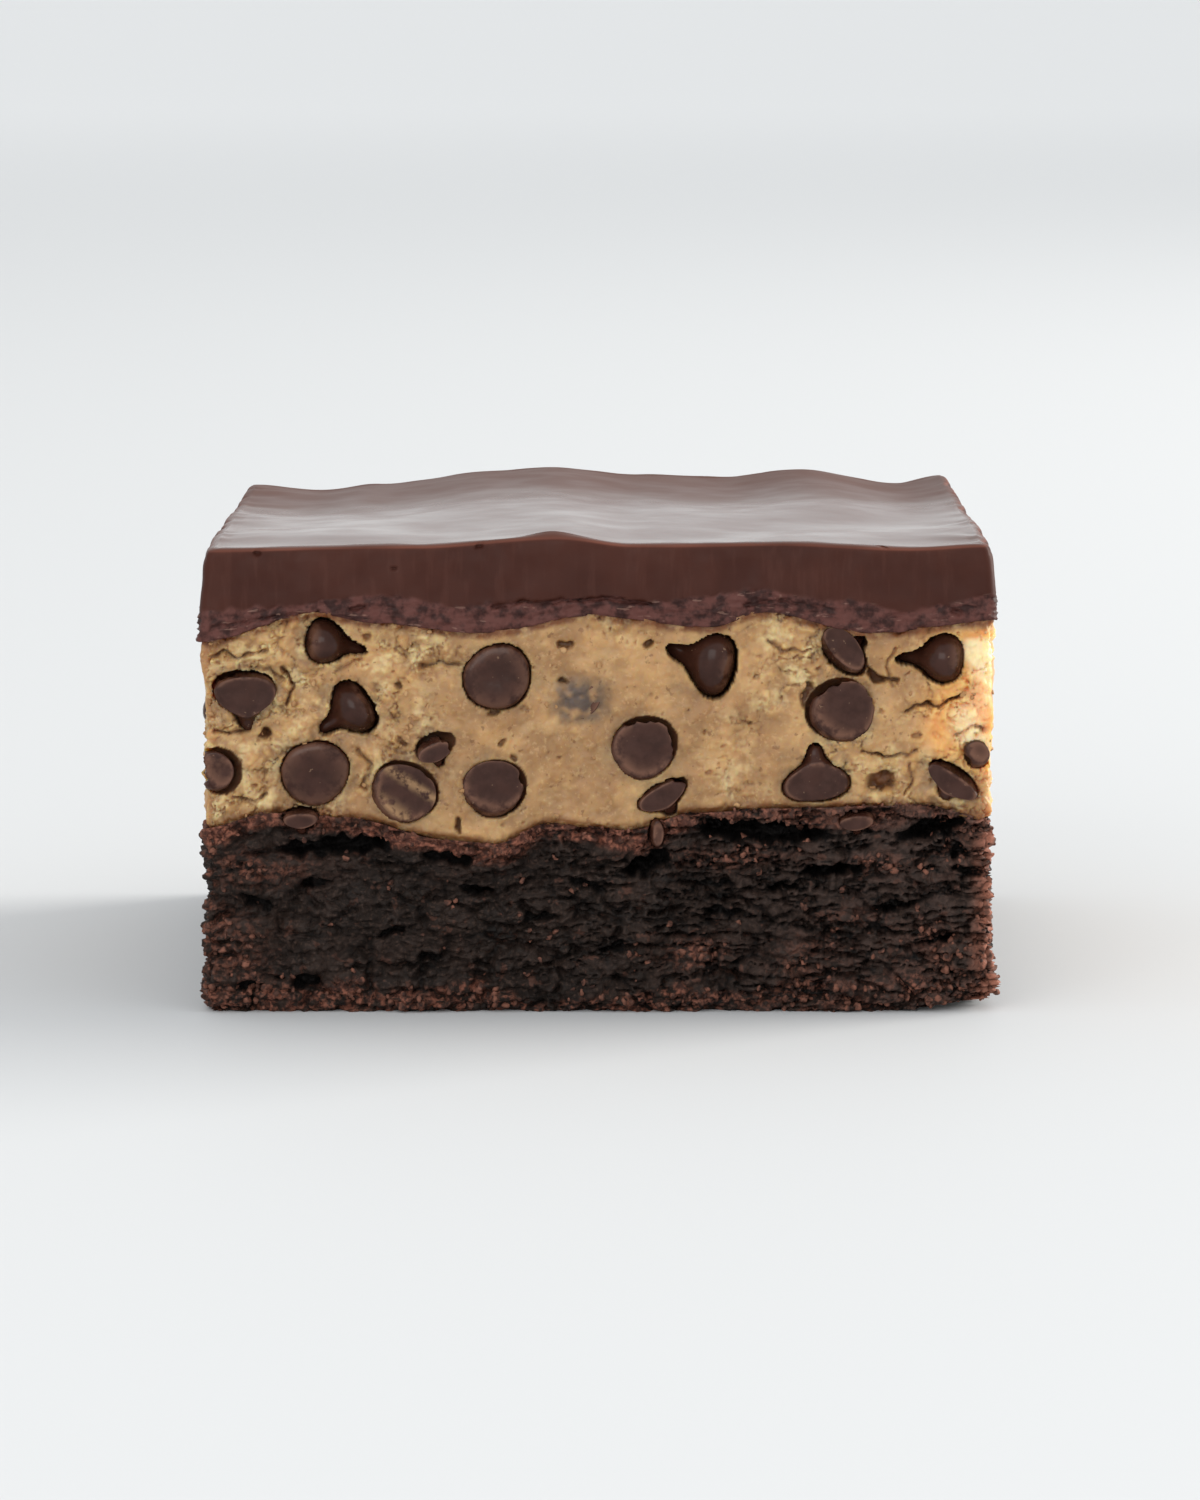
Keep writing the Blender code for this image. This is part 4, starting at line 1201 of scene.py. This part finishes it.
def crumbTree(name, mask, material):
    tree, source, output = newTree(name, crumbs["sizes"])
    given = source.outputs
    density = times(tree, mask(tree), given["Density"])
    layer = outwardsBy(tree, given[0], times(tree, given["Sunk"], -1.0))
    inputs = {"Mesh": layer, "Density": density, "Seed": given["Seed"]}
    spread = put(tree, "GeometryNodeDistributePointsOnFaces", inputs, distribute_method="RANDOM").outputs[0]
    inputs = {"Radius": given["Radius"], "Subdivisions": crumbs["subdivisions"]}
    ball = put(tree, "GeometryNodeMeshIcoSphere", inputs).outputs[0]
    size = randomValue(tree, given["Smallest"], given["Largest"], 3)
    turn = randomValue(tree, (0, 0, 0), (6.28, 6.28, 6.28), 5, "FLOAT_VECTOR")
    stretch = onVector(tree, "SCALE", crumbs["flatness"], {"Scale": size})
    inputs = {"Points": spread, "Instance": ball, "Rotation": turn, "Scale": stretch}
    placed = put(tree, "GeometryNodeInstanceOnPoints", inputs).outputs[0]
    real = put(tree, "GeometryNodeRealizeInstances", {0: placed}).outputs[0]
    real = shaken(tree, real, crumbs["lump"], crumbs["unevenness"], 1.0)
    smooth = put(tree, "GeometryNodeSetShadeSmooth", {"Geometry": real, "Shade Smooth": True}).outputs[0]
    return finish(tree, output, smooth, material)


def scattered(name, layer, mask, material, seed, density, radius, more=None):
    sizes = crumbs["sizes"] | {"Seed": seed, "Density": density, "Radius": radius} | (more or {})
    piece = grown(linked(name, layer.data.copy()), crumbTree(name, mask, material), sizes)
    print("crumbs", name, len(piece.data.polygons))
    return piece


def without(tree, name):
    return calc(tree, "SUBTRACT", 1.0, named(tree, name), clamp=True)


def crumblyMask(tree):
    above = ramped(tree, axes(tree, position(tree))[2], 0.0003, 0.0007)
    return times(tree, calc(tree, "POWER", named(tree, "crumbly"), 2.0), above)


def crustMask(tree):
    return calc(tree, "POWER", named(tree, "crust"), 3.0)


def roughMask(tree):
    clumps = patches(tree, position(tree), 3.0, 0.5, 0.66, 1.0)
    free = times(tree, without(tree, "seat"), named(tree, "seen"))
    return times(tree, times(tree, named(tree, "crumbly"), clumps), free)


def strayMask(tree):
    return times(tree, patches(tree, position(tree), 2.4, 0.56, 0.66, 2.0), named(tree, "seen"))


def bitMask(tree):
    behind = ramped(tree, axes(tree, position(tree))[1], -0.024, -0.02)
    return times(tree, behind, without(tree, "smudge"), named(tree, "seen"))


red, pale = redCrumbMaterial, paleCrumbMaterial
redCrumbs = [scattered(*row) for row in (
    ("stray_crumbs_front", brownieFront, strayMask, red, 19, 420000.0, 0.00036),
    ("stray_crumbs_rest", brownieRest, strayMask, red, 23, 260000.0, 0.0004),
    ("foot_crumbs_front", brownieFront, crumblyMask, red, 7, 900000.0, 0.00042),
    ("foot_crumbs_rest", brownieRest, crumblyMask, red, 7, 350000.0, 0.00048),
    ("crust_crumbs_front", brownieFront, crustMask, red, 11, 700000.0, 0.0003),
)]
paleCrumbs = [scattered(*row) for row in (
    ("dough_crumbs_front", doughFront, roughMask, pale, 13, 700000.0, 0.00034),
    ("dough_crumbs_rest", doughRest, roughMask, pale, 17, 260000.0, 0.0004),
)]
bits = {"Smallest": 0.45, "Sunk": 0.0006}
chipBits = scattered("chip_bits", doughRest, bitMask, chipMaterial, 29, 16000.0, 0.0014, bits)


# floor, light and camera

studio = {
    "world": (0.97, 0.985, 0.99), "worldStrength": 0.93, "aim": (0, 0, 0.02), "floorReach": 60.0,
    "camera": (0.000157, -0.54485, 0.08861), "tilt": 0.1278, "lens": 142.85, "sensor": 36.0,
    "lights": [  # name, place, size, power, colour
        ("window", (1.5, 0.5, 0.5), (1.0, 0.9), 36.0, (1.0, 0.96, 0.9)),
        ("front fill", (-0.3, -0.9, 0.45), (0.7, 0.6), 3.0, (1.0, 0.98, 0.96)),
    ],
}


def areaLight(name, place, size, power, colour):
    light = bpy.data.lights.new(name, "AREA")
    light.shape = "RECTANGLE"
    light.size, light.size_y = size
    light.energy, light.color = power, colour
    obj = linked(name, light)
    obj.location = place
    obj.rotation_euler = (Vector(studio["aim"]) - Vector(place)).to_track_quat("-Z", "Y").to_euler()


def floorPlane():
    mesh = bpy.data.meshes.new("floor")
    reach = studio["floorReach"]
    corners = [(-reach, -reach, 0), (reach, -reach, 0), (reach, reach, 0), (-reach, reach, 0)]
    mesh.from_pydata(corners, [], [(0, 1, 2, 3)])
    mesh.materials.append(floorMaterial)
    return linked("floor", mesh)


scene = bpy.context.scene
world = bpy.data.worlds.new("studio")
world.use_nodes = True
sky = world.node_tree.nodes["Background"]
sky.inputs[0].default_value = (*studio["world"], 1.0)
sky.inputs[1].default_value = studio["worldStrength"]
scene.world = world
scene.view_settings.view_transform = "Standard"
for light in studio["lights"]:
    areaLight(*light)
floor = floorPlane()

camera = linked("camera", bpy.data.cameras.new("camera"))
camera.data.lens = studio["lens"]
camera.data.sensor_width = studio["sensor"]
camera.location = studio["camera"]
camera.rotation_euler = (math.pi / 2 - studio["tilt"], 0, 0)
scene.camera = camera

layers = [(piece, "brownie_base", "fudgy_crumb") for piece in (brownieFront, brownieRest)]
layers += [(piece, "cookie_dough", "cookie_dough") for piece in (doughFront, doughRest)]
layers += [(ganachePiece, "ganache_top", "set_ganache")]
layers += [(piece, "brownie_base", "fudgy_crumb") for piece in redCrumbs]
layers += [(piece, "cookie_dough", "cookie_dough") for piece in paleCrumbs]
layers += [(piece, node, "chocolate_chip") for piece, node in chipPieces + [(chipBits, "cookie_dough")]]
for piece, node, slot in layers:
    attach(piece, "root")
    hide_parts(node)
